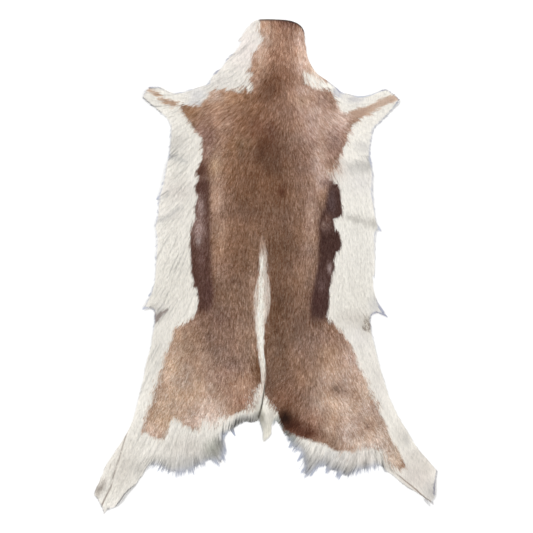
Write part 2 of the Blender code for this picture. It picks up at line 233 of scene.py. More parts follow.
# The way the hair lies.
LAY = table(
    Lay,
    ("neck, top", 30, 505, -84, 22), ("neck", 0, 455, -118, 26), ("neck, right", 60, 450, -88, 26),
    ("neck base, left", -10, 395, -126, 28), ("neck base, right", 70, 390, -72, 30),
    ("neck, left brown edge", -26, 470, -120, 18), ("neck, left white", -62, 440, -136, 22),
    ("neck, left rim", -50, 492, -156, 14), ("neck, left rim, middle", -70, 458, -156, 14),
    ("neck, left foot", -100, 400, -156, 30), ("neck, right edge", 98, 440, -74, 20),
    ("neck, right foot", 135, 384, -34, 24),
    ("left shoulder, top", -96, 352, -152, 32), ("left shoulder", -46, 345, -138, 34),
    ("left shoulder, low", -96, 296, -136, 40), ("withers, left", -46, 290, -130, 34),
    ("withers", 10, 335, -100, 30), ("left armpit", -180, 300, -138, 34),
    ("left foreleg root", -185, 352, -176, 22), ("left foreleg", -235, 362, 168, 26),
    ("left chest", -180, 235, -138, 40), ("left flank, upper", -195, 165, -140, 36),
    ("left flank, waves", -200, 105, -144, 26), ("left flank, middle", -200, 45, -120, 40),
    ("left flank, lower", -205, -30, -120, 36), ("left flank tip", -244, -84, -133, 18),
    ("left groin", -205, -110, -124, 32), ("left back edge", -115, 200, -112, 34),
    ("right shoulder", 110, 345, -60, 30), ("right shoulder, outside", 150, 305, -48, 34),
    ("right armpit", 205, 298, -42, 26), ("right shoulder, low", 112, 262, -42, 34),
    ("right foreleg root", 195, 335, 20, 24), ("right foreleg", 250, 352, 22, 28),
    ("right chest", 190, 235, -48, 34), ("right flank, upper", 200, 175, -62, 36),
    ("right flank, middle", 205, 80, -74, 46), ("right flank, lower", 210, -30, -80, 40),
    ("right flank tip", 244, -92, -42, 18), ("right groin", 200, -120, -60, 30),
    ("back, upper left", -60, 240, -126, 44), ("back, left", -90, 150, -100, 50),
    ("back, upper", 10, 250, -106, 40), ("back, middle", 0, 150, -92, 70),
    ("back, right", 80, 200, -76, 50), ("back, low left", -90, 60, -104, 50),
    ("loin, left", -70, -30, -98, 60), ("loin, middle", 0, 0, -91, 60),
    ("loin, right", 80, 0, -94, 60), ("loin, low left", -60, -110, -84, 40),
    ("loin, low right", 70, -110, -92, 40),
    ("left thigh", -140, -175, -118, 50), ("left thigh, outside", -215, -215, -114, 40),
    ("left of the fan", -50, -190, -84, 40), ("left rump", -110, -270, -108, 44),
    ("left of the tail", -32, -248, -62, 20), ("left thigh, low", -205, -320, -118, 40),
    ("left leg", -300, -400, -116, 36), ("left foot", -345, -495, -118, 36),
    ("left rump", -170, -370, -100, 28), ("left rump fringe, outside", -245, -415, -128, 26),
    ("left rump fringe", -205, -425, -118, 18), ("left rump fringe, middle", -168, -420, -90, 16),
    ("left lobe", -138, -400, -66, 16), ("left lobe, inside", -112, -392, -54, 16),
    ("left lobe, top", -110, -355, -84, 18), ("left lobe, side", -88, -376, -76, 10),
    ("left inner rim", -55, -322, -100, 26),
    ("tail, left", -14, -300, -72, 14), ("tail", 4, -340, -92, 14),
    ("right of the fan", 40, -190, -116, 34), ("right of the tail", 22, -252, -128, 22),
    ("right thigh", 125, -190, -74, 44), ("right thigh, outside", 205, -215, -66, 40),
    ("right rump", 80, -290, -104, 34), ("right thigh, low", 170, -290, -56, 40),
    ("right haunch", 240, -345, -58, 34), ("right leg", 300, -400, -52, 36),
    ("right foot", 350, -470, -52, 32), ("right rump fringe", 175, -420, -122, 30),
    ("right lobe, inside", 105, -415, -126, 24), ("right inner rim", 52, -350, -128, 22),
    ("right lobe, outside", 235, -412, -96, 22),
)

# The edge of the brown coat, clockwise from the left end of the neck cut.
SADDLE = (
    (-12, 530), (65, 532), (92, 516), (98, 470), (106, 436), (122, 414), (142, 396), (128, 391),
    (112, 399), (97, 407), (82, 412), (80, 403), (84, 394), (99, 382), (117, 377), (132, 378),
    (139, 370), (146, 359), (150, 346), (161, 330), (168, 326), (180, 322), (199, 310), (183, 299),
    (181, 288), (174, 281), (173, 264), (166, 253), (160, 243), (158, 232), (155, 214), (149, 206),
    (144, 198), (139, 191), (143, 184), (152, 179), (158, 166), (162, 126), (162, 108), (153, 102),
    (144, 100), (147, 84), (156, 72), (163, 47), (158, 34), (148, 29), (145, 14), (147, -8), (140, -16),
    (138, -40), (135, -65), (133, -94), (132, -112), (143, -118), (161, -138), (177, -160), (194, -198),
    (210, -234), (229, -279), (249, -321), (265, -362), (285, -397), (300, -425), (285, -431),
    (265, -419), (250, -391), (226, -384), (179, -391), (164, -390), (150, -389), (137, -381),
    (123, -376), (106, -371), (88, -367), (70, -361), (54, -356), (40, -348), (32, -335), (27, -322),
    (25, -310), (20, -302), (16, -296), (9, -288), (3, -280), (-4, -266), (-6, -250), (-9, -238),
    (-13, -251), (-20, -263), (-23, -276), (-29, -294), (-45, -306), (-61, -312), (-79, -318),
    (-97, -321), (-105, -332), (-135, -328), (-141, -347), (-164, -342), (-181, -328), (-194, -321),
    (-205, -336), (-214, -363), (-238, -363), (-261, -348), (-253, -327), (-241, -288), (-229, -255),
    (-220, -219), (-209, -178), (-197, -152), (-190, -130), (-169, -120), (-156, -108), (-143, -92),
    (-141, -77), (-145, -46), (-154, -45), (-152, -30), (-158, -14), (-157, 16), (-161, 44), (-158, 65),
    (-153, 91), (-147, 103), (-151, 128), (-141, 146), (-148, 158), (-149, 168), (-139, 191),
    (-147, 193), (-141, 211), (-135, 228), (-134, 247), (-135, 268), (-146, 285), (-160, 306),
    (-167, 316), (-177, 332), (-181, 342), (-145, 344), (-137, 344), (-120, 361), (-116, 372),
    (-69, 378), (-50, 372), (-41, 378), (-30, 374), (-27, 383), (-35, 391), (-33, 400), (-27, 408),
    (-37, 412), (-30, 424), (-23, 440), (-27, 446), (-23, 453), (-16, 463), (-9, 473), (-5, 484),
    (-12, 491), (-17, 500), (-11, 516),
)

# Unevenness, in patches of several sizes: of the coat's height, of its tone and of the edges of its colours.
COAT_LUMPS = table(Patches, (0.8, 85, 85, 1), (0.5, 22, 60, 2))
COAT_TONES = table(Patches, (0.04, 13, 17, 23), (0.05, 34, 40, 24), (0.045, 6, 8, 26))
EDGE_WAVES = table(Patches, (2.6, 9, 26, 21), (2.0, 4, 12, 22))

# Where brown and white hairs mix instead of meeting at a line.
BLENDS = table(
    Bump,
    ("right rump", 214, -384, 52, 4.0),
    ("right leg, inside", 262, -412, 34, 3.0),
    ("left rump", -108, -328, 56, 3.2),
    ("foot of the fan, left", -34, -284, 50, 4.5),
    ("foot of the fan, right", 16, -292, 26, 2.2),
    ("right notch", 142, 204, 44, 4.0),
    ("right shoulder", 172, 312, 34, 1.8),
    ("right neck", 98, 398, 34, 1.8),
    ("left neck", -40, 395, 40, 1.0),
    ("left thigh, outside", -240, -270, 90, 2.4),
    ("right thigh, outside", 220, -270, 90, 1.6),
)

# The dark stripe along each side: how far in from the middle of the back it starts, and how dark it is.
STRIPES = table(
    Stripe,
    (250, -123, 0.0, 140, 0.0), (226, -121, 0.35, 136, 0.0), (205, -120, 0.6, 134, 0.0),
    (186, -117, 0.9, 131, 0.3), (176, -113, 0.9, 129, 0.85), (154, -112, 0.95, 125, 1.0),
    (126, -112, 0.95, 120, 1.0), (96, -111, 0.9, 107, 1.0), (52, -109, 0.95, 107, 1.0),
    (16, -109, 0.95, 106, 1.0), (-20, -107, 1.0, 100, 1.0), (-57, -104, 1.0, 93, 1.0),
    (-84, -108, 0.9, 89, 1.0), (-104, -118, 0.1, 87, 0.9), (-122, -122, 0.0, 87, 0.0),
)
STRIPE_SOFT = 14.0  # width over which a stripe fades into the back
STRIPE_RAGGED = 0.6  # how ragged its edges are, where those of the saddle are 1
LEFT_STRIPE = (86, 58, 49)
RIGHT_STRIPE = (70, 46, 40)

FLESH = (214, 200, 182)
FLESH_DARK = (196, 178, 156)
FLESH_PALE = (226, 214, 198)
WHITE = (237, 233, 225)
BROWN = (134, 103, 84)
COAT_GAIN = 1.09  # the brown hairs shade one another, so each is this much lighter than the coat looks
RIM_SHADE_BLUE = (170, 177, 198)  # painted blue-grey shade of the thin hair at the rim, seen against the floor

# How much of the brown coat's grain goes to red, green and blue, in its dark and in its pale parts. The pale
# side goes greyer, partly as painted glints on the hair.
DARK_GRAIN = (0.96, 1.0, 1.02)
PALE_GRAIN = (0.84, 1.02, 1.12)

# How strong the grain is: in fine streaks, along the locks and from one hair to the next.
BROWN_HAIR = Grain(0.14, 0.02, 0.18)
WHITE_HAIR = Grain(0.8, 0.9, 0.014)  # its first two are shares of pale_streaks
FAN_HAIR = Grain(0.03, None, 0.04)

FAN_CORE = (247, 245, 236)
FAN_SIDE = (222, 211, 200)
FAN_EDGE = (180, 152, 134)
FAN_COVER = 0.8  # how far the coat under the fan takes the colour of its edge

# Soft patches of colour on the brown coat, laid one over another: its own tones, and painted shade of the
# fold across the left thigh and in the dimples of the right thigh and rump.
COAT_TINTS = table(
    Tint,
    ("neck", 30, 446, 45, 70, (162, 123, 100), 0.9),
    ("neck, left edge", -12, 442, 11, 60, (197, 168, 148), 0.87),
    ("neck, right side", 79, 446, 14, 48, (212, 184, 168), 0.95),
    ("neck, top left", -1, 488, 13, 22, (200, 170, 150), 0.8),
    ("neck base", 20, 385, 36, 22, (108, 70, 49), 0.88),
    ("neck base, smudge", 8, 361, 21, 16, (58, 32, 20), 0.88),
    ("neck base, right", 67, 375, 26, 15, (138, 108, 92), 0.85),
    ("neck base, left", -22, 394, 9, 15, (182, 150, 130), 0.8),
    ("left shoulder", -86, 342, 50, 32, (184, 147, 117), 0.9),
    ("left shoulder, low", -107, 298, 40, 30, (165, 132, 113), 0.8),
    ("left shoulder, edge", -134, 278, 12, 22, (124, 96, 90), 0.75),
    ("withers, left", -33, 302, 34, 44, (114, 78, 56), 0.8),
    ("withers", 10, 318, 24, 40, (120, 86, 66), 0.82),
    ("right shoulder", 84, 334, 38, 34, (177, 148, 133), 0.85),
    ("right shoulder, pink", 116, 286, 32, 28, (186, 158, 144), 0.9),
    ("right shoulder, outside", 160, 318, 18, 20, (206, 182, 168), 0.85),
    ("right shoulder, low", 126, 245, 30, 24, (152, 123, 109), 0.75),
    ("right notch", 128, 194, 19, 10, (200, 177, 163), 0.85),
    ("back, smudge", 14, 268, 10, 22, (94, 60, 44), 0.85),
    ("back, left smudge", -8, 251, 11, 18, (42, 12, 0), 0.88),
    ("back, right smudge", 28, 231, 9, 12, (98, 66, 50), 0.7),
    ("back, upper left", -58, 247, 45, 45, (145, 109, 85), 0.8),
    ("back, upper right", 73, 226, 34, 34, (126, 96, 80), 0.65),
    ("left edge", -124, 247, 12, 30, (162, 130, 115), 0.75),
    ("left pale band, top", -103, 205, 12, 42, (163, 134, 114), 0.88),
    ("left pale band", -95, 62, 11, 62, (183, 151, 129), 0.9),
    ("left pale band, foot", -88, -20, 12, 34, (136, 107, 91), 0.6),
    ("back", -12, 162, 48, 42, (118, 83, 60), 0.85),
    ("back, red spot", 35, 158, 7, 9, (86, 48, 30), 0.9),
    ("back, right", 92, 166, 16, 34, (134, 105, 89), 0.8),
    ("dark band, left", -54, 109, 40, 13, (120, 89, 72), 0.7),
    ("dark band", 0, 109, 40, 13, (124, 93, 75), 0.7),
    ("dark band, right", 63, 109, 36, 15, (128, 100, 84), 0.6),
    ("loin, left", -54, 32, 32, 58, (122, 90, 69), 0.85),
    ("loin, right", 37, 34, 34, 60, (112, 82, 63), 0.85),
    ("right pale band", 94, 54, 9.5, 66, (156, 128, 112), 0.85),
    ("right pale band, foot", 80, -29, 13, 34, (148, 119, 101), 0.75),
    ("loin, low left", -60, -78, 38, 46, (132, 103, 84), 0.8),
    ("loin, low right", 50, -74, 34, 44, (120, 90, 71), 0.8),
    ("below the left stripe", -101, -116, 22, 17, (124, 95, 82), 0.82),
    ("below the right stripe", 82, -122, 26, 20, (106, 79, 65), 0.75),
    ("left thigh, top", -170, -155, 26, 24, (201, 169, 142), 0.87),
    ("left thigh", -139, -190, 40, 34, (175, 147, 126), 0.75),
    ("left thigh, outside", -200, -222, 22, 58, (193, 168, 147), 0.92),
    ("left thigh, low", -215, -308, 30, 34, (189, 163, 139), 0.88),
    ("left rump", -156, -290, 46, 42, (190, 165, 145), 0.86),
    ("loin, low right, dark", 58, -145, 22, 12, (100, 74, 58), 0.6),
    ("back, left of the smudge", -30, 280, 9, 9, (106, 72, 52), 0.5),
    ("beside the right stripe", 100, 117, 9, 13, (170, 142, 125), 0.55),
    ("left of the fan", -36, -165, 23, 37, (162, 134, 115), 0.8),
    ("left rump, inside", -58, -266, 30, 24, (177, 145, 125), 0.78),
    ("right of the fan", 26, -172, 24, 48, (119, 91, 72), 0.85),
    ("right rump, inside", 40, -284, 24, 26, (116, 82, 63), 0.85),
    ("right thigh, top", 104, -158, 30, 24, (152, 124, 109), 0.76),
    ("right thigh", 136, -236, 31, 28, (190, 164, 146), 0.82),
    ("right thigh, outside", 178, -212, 22, 42, (197, 172, 154), 0.85),
    # Painted shade in the dimple of the right thigh.
    ("right thigh, dimple", 154, -262, 13, 10, (138, 113, 97), 0.75),
    ("right thigh, low", 166, -302, 36, 25, (190, 167, 149), 0.85),
    ("right thigh, side", 211, -325, 14, 22, (173, 150, 135), 0.7),
    ("right leg", 250, -358, 22, 36, (188, 169, 154), 0.88),
    ("right leg, tip", 272, -406, 17, 20, (212, 192, 175), 0.9),
    ("right rump, middle", 100, -333, 18, 18, (140, 108, 92), 0.8),
    ("right rump, pale", 196, -372, 40, 14, (199, 180, 166), 0.88),
    ("right rump, beside the dark", 136, -342, 15, 12, (186, 162, 146), 0.82),
    ("right rump, dark", 56, -336, 18, 12, (66, 32, 18), 0.95),
    ("right rump, dark edge", 84, -353, 20, 10, (82, 46, 32), 0.9),
    ("right rump, very dark", 41, -321, 12, 13, (34, 12, 0), 0.97),
    ("neck, right rim", 112, 408, 14, 20, (226, 210, 198), 0.9),
    ("right of the smudge", 74, 352, 12, 12, (168, 138, 112), 0.6),
    ("right shoulder, pale strands", 101, 326, 9, 9, (208, 184, 170), 0.5),
    ("right shoulder, pale edge", 83, 375, 12, 5, (196, 172, 160), 0.6),
    ("withers, small smudge", 15, 289, 9, 12, (104, 74, 62), 0.7),
    ("left shoulder, pale strands", -97, 300, 16, 12, (186, 156, 136), 0.45),
    ("left shoulder, red", -12, 296, 14, 14, (120, 80, 60), 0.6),
    ("left back, olive", -50, 259, 16, 12, (126, 96, 68), 0.5),
    ("left edge, mauve", -118, 283, 10, 18, (124, 94, 82), 0.7),
    ("left edge, pale", -108, 214, 8, 14, (178, 152, 126), 0.6),
    # Painted shade of the fold across the left thigh.
    ("left thigh, smudge", -105, -176, 17, 7, (110, 86, 70), 0.8),
    ("left thigh, lower smudge", -112, -258, 8, 7, (150, 124, 104), 0.5),
    ("left thigh, pale", -170, -237, 14, 12, (198, 173, 152), 0.5),
    ("left thigh, mauve", -80, -203, 20, 24, (158, 130, 120), 0.5),
    ("left rump, red", -44, -286, 14, 10, (160, 120, 100), 0.7),
    # Painted shade in the dimples of the right thigh and rump, in this row and the next three.
    ("right thigh, dark core", 149, -259, 4, 4, (96, 74, 62), 0.9),
    ("right thigh, dark fold", 158, -265, 9, 3.5, (114, 90, 76), 0.8),
    ("right rump, smudge", 152, -341, 7, 5, (138, 112, 98), 0.7),
    ("right haunch, smudge", 217, -338, 5, 5, (112, 88, 76), 0.9),
    ("right thigh, mauve", 175, -190, 16, 14, (184, 156, 144), 0.5),
    ("left of the tail", -14, -218, 8, 22, (102, 68, 45), 0.8),
    ("right of the tail", 9, -240, 7, 26, (104, 76, 60), 0.7),
    # Painted shade of the fold across the left thigh, in this row and the next.
    ("left thigh, fold", -104, -150, 42, 22, (125, 97, 81), 0.8),
    ("left thigh, fold's foot", -78, -197, 18, 12, (128, 101, 84), 0.7),
    ("left shoulder, outside", -160, 326, 18, 14, (152, 116, 88), 0.85),
    ("right thigh, upper", 130, -184, 15, 14, (156, 128, 107), 0.7),
    ("right thigh, middle", 88, -208, 12, 10, (132, 104, 88), 0.6),
    ("left thigh, tip", -240, -346, 18, 14, (216, 194, 178), 0.9),
    ("left rump, pale edge", -114, -322, 26, 12, (232, 214, 200), 0.87),
    ("left rump, middle", -112, -298, 20, 14, (212, 188, 171), 0.75),
    ("left thigh, light", -135, -256, 16, 14, (206, 178, 156), 0.7),
    ("left rump, low", -150, -328, 18, 10, (218, 194, 178), 0.75),
    ("right thigh, edge", 211, -264, 12, 34, (195, 173, 157), 0.85),
    ("right thigh, inside", 126, -290, 20, 18, (194, 168, 149), 0.8),
    ("right rump, light", 177, -343, 15, 10, (202, 180, 165), 0.8),
    ("right back, pale", 113, 218, 11, 36, (196, 170, 157), 0.8),
    ("right back, above the stripe", 116, 176, 9, 14, (184, 157, 144), 0.7),
    ("neck, at the cut", 54, 517, 19, 7, (100, 68, 56), 0.88),
    ("neck foot, right", 70, 400, 12, 12, (140, 109, 90), 0.5),
    ("withers, right", 46, 320, 20, 28, (128, 95, 77), 0.75),
    ("right shoulder, edge", 158, 260, 14, 22, (142, 115, 105), 0.75),
    ("right shoulder, top", 132, 352, 14, 10, (144, 115, 100), 0.7),
    ("left shoulder, top edge", -116, 362, 22, 10, (214, 188, 170), 0.85),
    ("back, upper", 8, 216, 32, 34, (90, 60, 42), 0.5),
    ("left pale band, middle", -103, 132, 10, 22, (188, 156, 134), 0.75),
    ("right of the fan, upper", 22, -96, 13, 46, (94, 64, 44), 0.7),
    ("left of the fan, pale", -27, -40, 6, 62, (176, 146, 124), 0.5),
)

# Soft patches on the dark stripes: painted grey sheen, and darker and lighter hair.
STRIPE_TINTS = table(
    Tint,
    ("left, upper lobe", -133, 207, 8, 12, (90, 58, 46), 0.75),
    ("left, between the lobes", -136, 187, 7, 4, (150, 122, 110), 0.6),
    ("left, second lobe", -138, 163, 10, 11, (88, 58, 50), 0.7),
    ("left, upper sheen", -138, 128, 6, 16, (172, 151, 146), 0.8),
    # Painted sheen on the right stripe.
    ("right, pale patch", 131, 86, 8, 9, (114, 90, 82), 0.7),
    ("left, middle sheen", -141, 80, 10, 17, (184, 160, 154), 0.8),
    ("left, small sheen", -142, 54, 4, 8, (164, 148, 144), 0.8),
    ("left, lower sheen", -136, 16, 7, 18, (116, 88, 82), 0.6),
    ("left, dark foot", -122, -58, 10, 20, (82, 54, 48), 0.7),
    ("right, top", 130, 178, 9, 6, (120, 94, 86), 0.7),
    ("right, upper sheen", 140, 136, 7, 22, (92, 74, 74), 0.7),
    ("right, gap", 131, 102, 7, 8, (112, 82, 70), 0.7),
    ("right, pale strands", 122, 88, 3, 7, (150, 124, 112), 0.6),
    ("right, small sheen", 136, -3, 3.5, 9, (166, 150, 148), 0.8),
    ("right, lower sheen", 121, -36, 7, 14, (110, 88, 86), 0.6),
    ("right, dark foot", 112, -72, 12, 16, (74, 46, 42), 0.6),
)

# Soft patches on the white coat: its own tone and stains, and painted shade in its waves and folds, by the
# rim, in the fringe of the rump and beside the crease into the tail.
WHITE_TINTS = table(
    Tint,
    ("right flank", 205, 20, 44, 110, (230, 227, 220), 0.85),
    ("left thigh's rim", -231, -170, 24, 66, (224, 220, 212), 0.8),
    ("left neck", -42, 466, 30, 40, (238, 229, 224), 0.8),
    ("left neck, foot", -96, 391, 22, 14, (219, 214, 209), 0.7),
    ("left flank, shade", -186, 160, 30, 16, (216, 209, 202), 0.6),
    ("left flank, lower shade", -205, 112, 24, 10, (218, 212, 205), 0.5),
    ("left armpit shade", -191, 262, 18, 16, (204, 200, 193), 0.75),
    ("left leg", -302, -424, 20, 34, (219, 213, 204), 0.7),
    ("left leg patch, upper", -341, -456, 4, 5, (166, 156, 147), 0.7),
    ("left leg patch, middle", -349, -467, 5, 6, (140, 130, 121), 0.85),
    ("left leg patch, lower", -356, -477, 4, 6, (160, 151, 141), 0.8),
    ("left rump", -160, -384, 44, 20, (214, 208, 200), 0.8),
    # Painted shade between and under the locks of the left lobe's fringe, in this row and the next three.
    ("left lobe, inside", -114, -380, 13, 11, (166, 167, 156), 0.75),
    ("left lobe, top", -98, -369, 6, 5, (116, 117, 110), 0.75),
    ("left lobe, middle", -111, -392, 6, 4, (122, 123, 114), 0.7),
    ("left lobe, fringe", -158, -414, 29, 12, (205, 204, 203), 0.6),
    ("right rump", 160, -406, 42, 16, (216, 210, 203), 0.75),
    # Painted shade in the right lobe's fringe.
    ("right lobe", 124, -416, 36, 16, (196, 194, 192), 0.7),
    ("right rump, outside", 210, -405, 18, 11, (200, 191, 183), 0.7),
    ("right leg", 325, -440, 24, 26, (228, 219, 211), 0.7),
    # Painted shade of the right leg's folds, in this row and the next two.
    ("right leg, upper fold", 295, -362, 5, 10, (172, 170, 166), 0.75),
    ("right leg, lower fold", 312, -398, 12, 8, (206, 200, 192), 0.7),
    ("right leg, fold's end", 338, -422, 14, 8, (208, 202, 193), 0.7),
    ("right thigh", 200, -136, 20, 26, (217, 212, 208), 0.7),
    ("left stain, dark side", -233, -104, 3, 9, (112, 98, 92), 0.75),
    ("left stain, shade", -222, -90, 9, 8, (184, 180, 176), 0.7),
    ("left of the tail", -17, -298, 6, 14, (196, 190, 178), 0.7),
    ("left lobe, outer end", -250, -420, 9, 9, (194, 189, 181), 0.75),
    ("right lobe, outer end", 253, -418, 10, 11, (184, 178, 170), 0.75),
    ("right leg, middle", 324, -404, 14, 12, (210, 204, 196), 0.7),
    ("right flank, low", 195, -62, 40, 40, (225, 221, 212), 0.7),
    ("left flank, low", -200, -34, 44, 46, (227, 223, 214), 0.75),
    ("right stain, shade", 217, -109, 8, 5, (176, 173, 164), 0.7),
    ("right stain", 215, -120, 8, 10, (196, 187, 174), 0.8),
    ("right flank tip, shade", 232, -80, 9, 17, (194, 192, 190), 0.75),
    ("right flank, upper shade", 206, 256, 14, 9, (206, 203, 199), 0.7),
    ("right flank, high", 202, 182, 24, 20, (220, 216, 212), 0.8),
    # Painted blue-grey shade by the rim at the foreleg roots and the foot of the right neck, in this row and
    # the next two.
    ("left foreleg root", -140, 366, 15, 11, (212, 210, 211), 0.7),
    ("right foreleg root", 187, 356, 13, 8, (196, 194, 197), 0.65),
    ("right neck, foot", 149, 369, 7, 7, (178, 179, 190), 0.7),
    ("tail", 5, -345, 14, 24, (230, 226, 212), 0.8),
    ("right of the tail", 15, -314, 7, 9, (194, 188, 178), 0.6),
    # Painted shade beside the crease into the tail.
    ("tail, left", -8, -316, 4, 9, (176, 170, 150), 0.6),
    ("right leg, above the groove", 310, -442, 20, 22, (206, 199, 192), 0.7),
    ("right foot, outside", 350, -475, 11, 15, (184, 180, 176), 0.8),
    ("left leg, inside", -262, -426, 14, 14, (198, 194, 187), 0.75),
    ("right groin", 186, -108, 26, 13, (203, 197, 188), 0.7),
    ("right thigh's rim", 238, -250, 18, 50, (220, 215, 208), 0.8),
    ("right leg's rim", 288, -354, 16, 23, (210, 205, 197), 0.7),
    ("right notch", 152, 206, 14, 14, (210, 200, 192), 0.8),
)

SPECKS = Tint("dark specks of thin hair at the right groin", 214, -121, 11, 14, (112, 98, 86), 0.85)

# Shade on the white hair by the rim, which fades from one depth inside the outline to another.
RIM_SHADES = table(
    Shade,
    ("inner end of the left lobe", -40, -326, 62, 0.42, 22, 7),
    ("inner end of the right lobe", 46, -352, 40, 0.20, 24, 12),
)
RUMP_SHADE = 0.17
LEFT_RUMP_SHADE_DEPTH = 34.0
RIGHT_RUMP_SHADE_DEPTH = 24.0

# Bands of colour on the white coat, each tapering from one half width to another. The foreleg stripes and the
# groin stain are the coat's own colour; the rest are painted shade: of the skin's waves on the flanks, at the
# left shoulder, by the right inner rim and at the right flank tip.
BANDS = table(
    Line,
    ("left foreleg stripe, outer", 4.5, 3.5, 1.5, 0.95, (190, 160, 136),
        ((-254, 377), (-236, 369), (-223, 362))),
    ("left foreleg stripe, inner", 3.5, 7.0, 1.5, 0.95, (182, 150, 126),
        ((-221, 353), (-208, 350), (-190, 345))),
    ("right foreleg stripe, root", 13.0, 8.0, 3.0, 0.85, (176, 142, 120),
        ((181, 316), (195, 325), (217, 332))),
    ("right foreleg stripe", 8.0, 5.0, 2.0, 0.9, (198, 170, 150),
        ((217, 332), (239, 345), (259, 353), (280, 357))),
    # The rows from here on, but for the groin stain, are painted shade.
    ("left flank, upper wave", 3.0, 5.0, 6.0, 0.8, (208, 206, 201),
        ((-204, 236), (-186, 232), (-168, 224))),
    ("left flank, small wave", 2.5, 2.5, 4.0, 0.8, (188, 186, 182), ((-219, 146), (-206, 152))),
    ("left flank, middle wave", 6.0, 2.5, 7.0, 0.9, (204, 201, 196),
        ((-224, 99), (-205, 107), (-180, 126))),
    ("right flank, upper wave", 13.0, 8.0, 12.0, 0.85, (184, 181, 176), ((226, 219), (200, 214), (182, 211))),
    ("left shoulder shade", 3.0, 3.0, 5.0, 0.7, (198, 196, 198), ((-154, 350), (-128, 346))),
    ("left groin stain", 8.0, 2.5, 3.0, 0.9, (140, 128, 122), ((-232, -108), (-222, -100), (-209, -90))),
    ("right inner rim, shade", 6.0, 8.0, 6.0, 0.75, (116, 122, 118),
        ((22, -327), (36, -344), (46, -358), (54, -370))),
    ("right flank tip, slate", 1.5, 4.5, 3.0, 0.85, (138, 142, 164), ((237, -68), (243, -83), (250, -96))),
    ("right flank, lower wave", 8.0, 3.5, 12.0, 0.9, (184, 180, 172), ((231, 92), (210, 98), (174, 106))),
)

# Thin lines that cross the hair. Most are painted shade: the shadow of the cut edges and of the rims, and
# painted shadow in creases, grooves and waves. The right leg's brown edge is the coat's own colour.
SHADE_AND_MARK_LINES = table(
    Line,
    ("neck cut, left", 1.2, 2.0, 1.0, 1.0, (44, 34, 42), ((-12, 524), (14, 525), (41, 523))),
    ("neck cut, right", 2.4, 1.2, 1.0, 1.0, (36, 26, 32),
        ((41, 523), (65, 517), (77, 508), (82, 498))),
    ("neck, right edge", 0.8, 0.4, 0.8, 0.6, (120, 104, 116), ((82, 498), (86, 476), (90, 450))),
    ("left neck edge", 0.8, 1.6, 1.0, 0.8, (112, 116, 146),
        ((-71, 451), (-83, 437), (-94, 424), (-107, 408))),
    ("right neck edge", 0.6, 1.2, 0.8, 0.6, (120, 124, 150), ((132, 393), (147, 382), (158, 369))),
    ("left foreleg underside", 1.4, 1.0, 0.8, 0.9, (96, 94, 100),
        ((-260, 358), (-241, 341), (-222, 325))),
    ("left foreleg end", 0.8, 0.8, 0.8, 0.5, (140, 138, 142), ((-260, 358), (-252, 374))),
    ("right foreleg end", 0.8, 1.2, 0.8, 0.8, (100, 102, 124),
        ((244, 373), (258, 375), (272, 366), (284, 353), (272, 337), (258, 320), (240, 302))),
    ("right foreleg underside", 1.2, 0.6, 0.8, 0.7, (130, 134, 158),
        ((240, 302), (230, 292), (226, 274), (222, 249), (220, 228))),
    ("shadow right of the fan", 0.4, 1.0, 1.6, 0.75, (86, 66, 54),
        ((0, -172), (1, -190), (3, -210), (5, -232), (3, -250), (-1, -262))),
    ("crease into the tail", 0.7, 1.9, 1.2, 0.95, (62, 56, 46),
        ((-1, -250), (-3, -262), (-5, -277), (-7, -290), (-10, -304), (-15, -320))),
    ("left inner rim, edge", 1.0, 1.6, 1.8, 0.9, (84, 86, 80),
        ((-90, -356), (-73, -350), (-60, -341), (-44, -333), (-29, -334), (-16, -327))),
    ("left upper wave", 0.5, 0.9, 0.9, 0.75, (128, 124, 124), ((-207, 237), (-196, 233), (-186, 236))),
    ("left upper wave, second line", 0.4, 0.6, 0.9, 0.6, (150, 146, 144), ((-205, 231), (-190, 228))),
    ("left middle wave", 0.5, 0.9, 0.9, 0.7, (132, 129, 128), ((-224, 149), (-214, 155), (-206, 161))),
    ("right upper wave", 0.9, 0.5, 0.9, 0.7, (134, 131, 130), ((221, 234), (208, 232), (197, 235))),
    ("right flank tip, underside", 0.9, 0.9, 0.9, 0.85, (138, 138, 160),
        ((224, -103), (235, -97), (246, -100), (255, -104))),
    ("left flank tip, underside", 0.5, 0.9, 0.9, 0.7, (128, 122, 122),
        ((-234, -93), (-238, -87), (-246, -86))),
    ("left leg crease", 0.9, 1.8, 1.6, 0.85, (142, 131, 122), LEG_CREASE),
    ("left leg outer edge", 0.4, 0.8, 0.9, 0.7, (150, 141, 134),
        ((-284, -318), (-298, -346), (-316, -376), (-337, -418), (-350, -448), (-361, -477))),
    ("left leg spots", 0.8, 0.8, 1.0, 0.6, (150, 140, 130), ((-328, -418), (-330, -428))),
    ("left foot edge", 0.7, 0.9, 0.9, 0.85, (98, 98, 112),
        ((-363, -487), (-359, -491), (-350, -508), (-345, -514), (-343, -525))),
    ("left foot, inner edge", 1.4, 0.9, 0.9, 0.9, (96, 94, 96),
        ((-336, -515), (-328, -516), (-319, -511), (-313, -503), (-308, -496), (-299, -482), (-289, -472),
         (-274, -462), (-266, -448))),
    ("left lobe notch", 0.9, 0.5, 1.2, 0.7, (112, 113, 112), ((-97, -356), (-88, -352), (-79, -346))),
    ("right leg groove", 0.7, 1.4, 1.1, 0.85, (120, 102, 89), LEG_GROOVE),
    ("right leg rim", 0.2, 0.8, 0.8, 0.7, (126, 122, 118),
        ((270, -444), (290, -460), (304, -469), (318, -478), (330, -486))),
    ("right leg, brown edge", 0.5, 0.5, 0.9, 0.6, (140, 118, 100), ((262, -370), (274, -384), (284, -394))),
    ("right foot edge", 1.5, 1.0, 0.9, 0.95, (72, 76, 104),
        ((364, -434), (361, -450), (357, -468), (357, -484))),
    ("right foot tuft", 0.8, 0.6, 1.2, 0.6, (130, 134, 142), ((341, -493), (353, -499))),
)


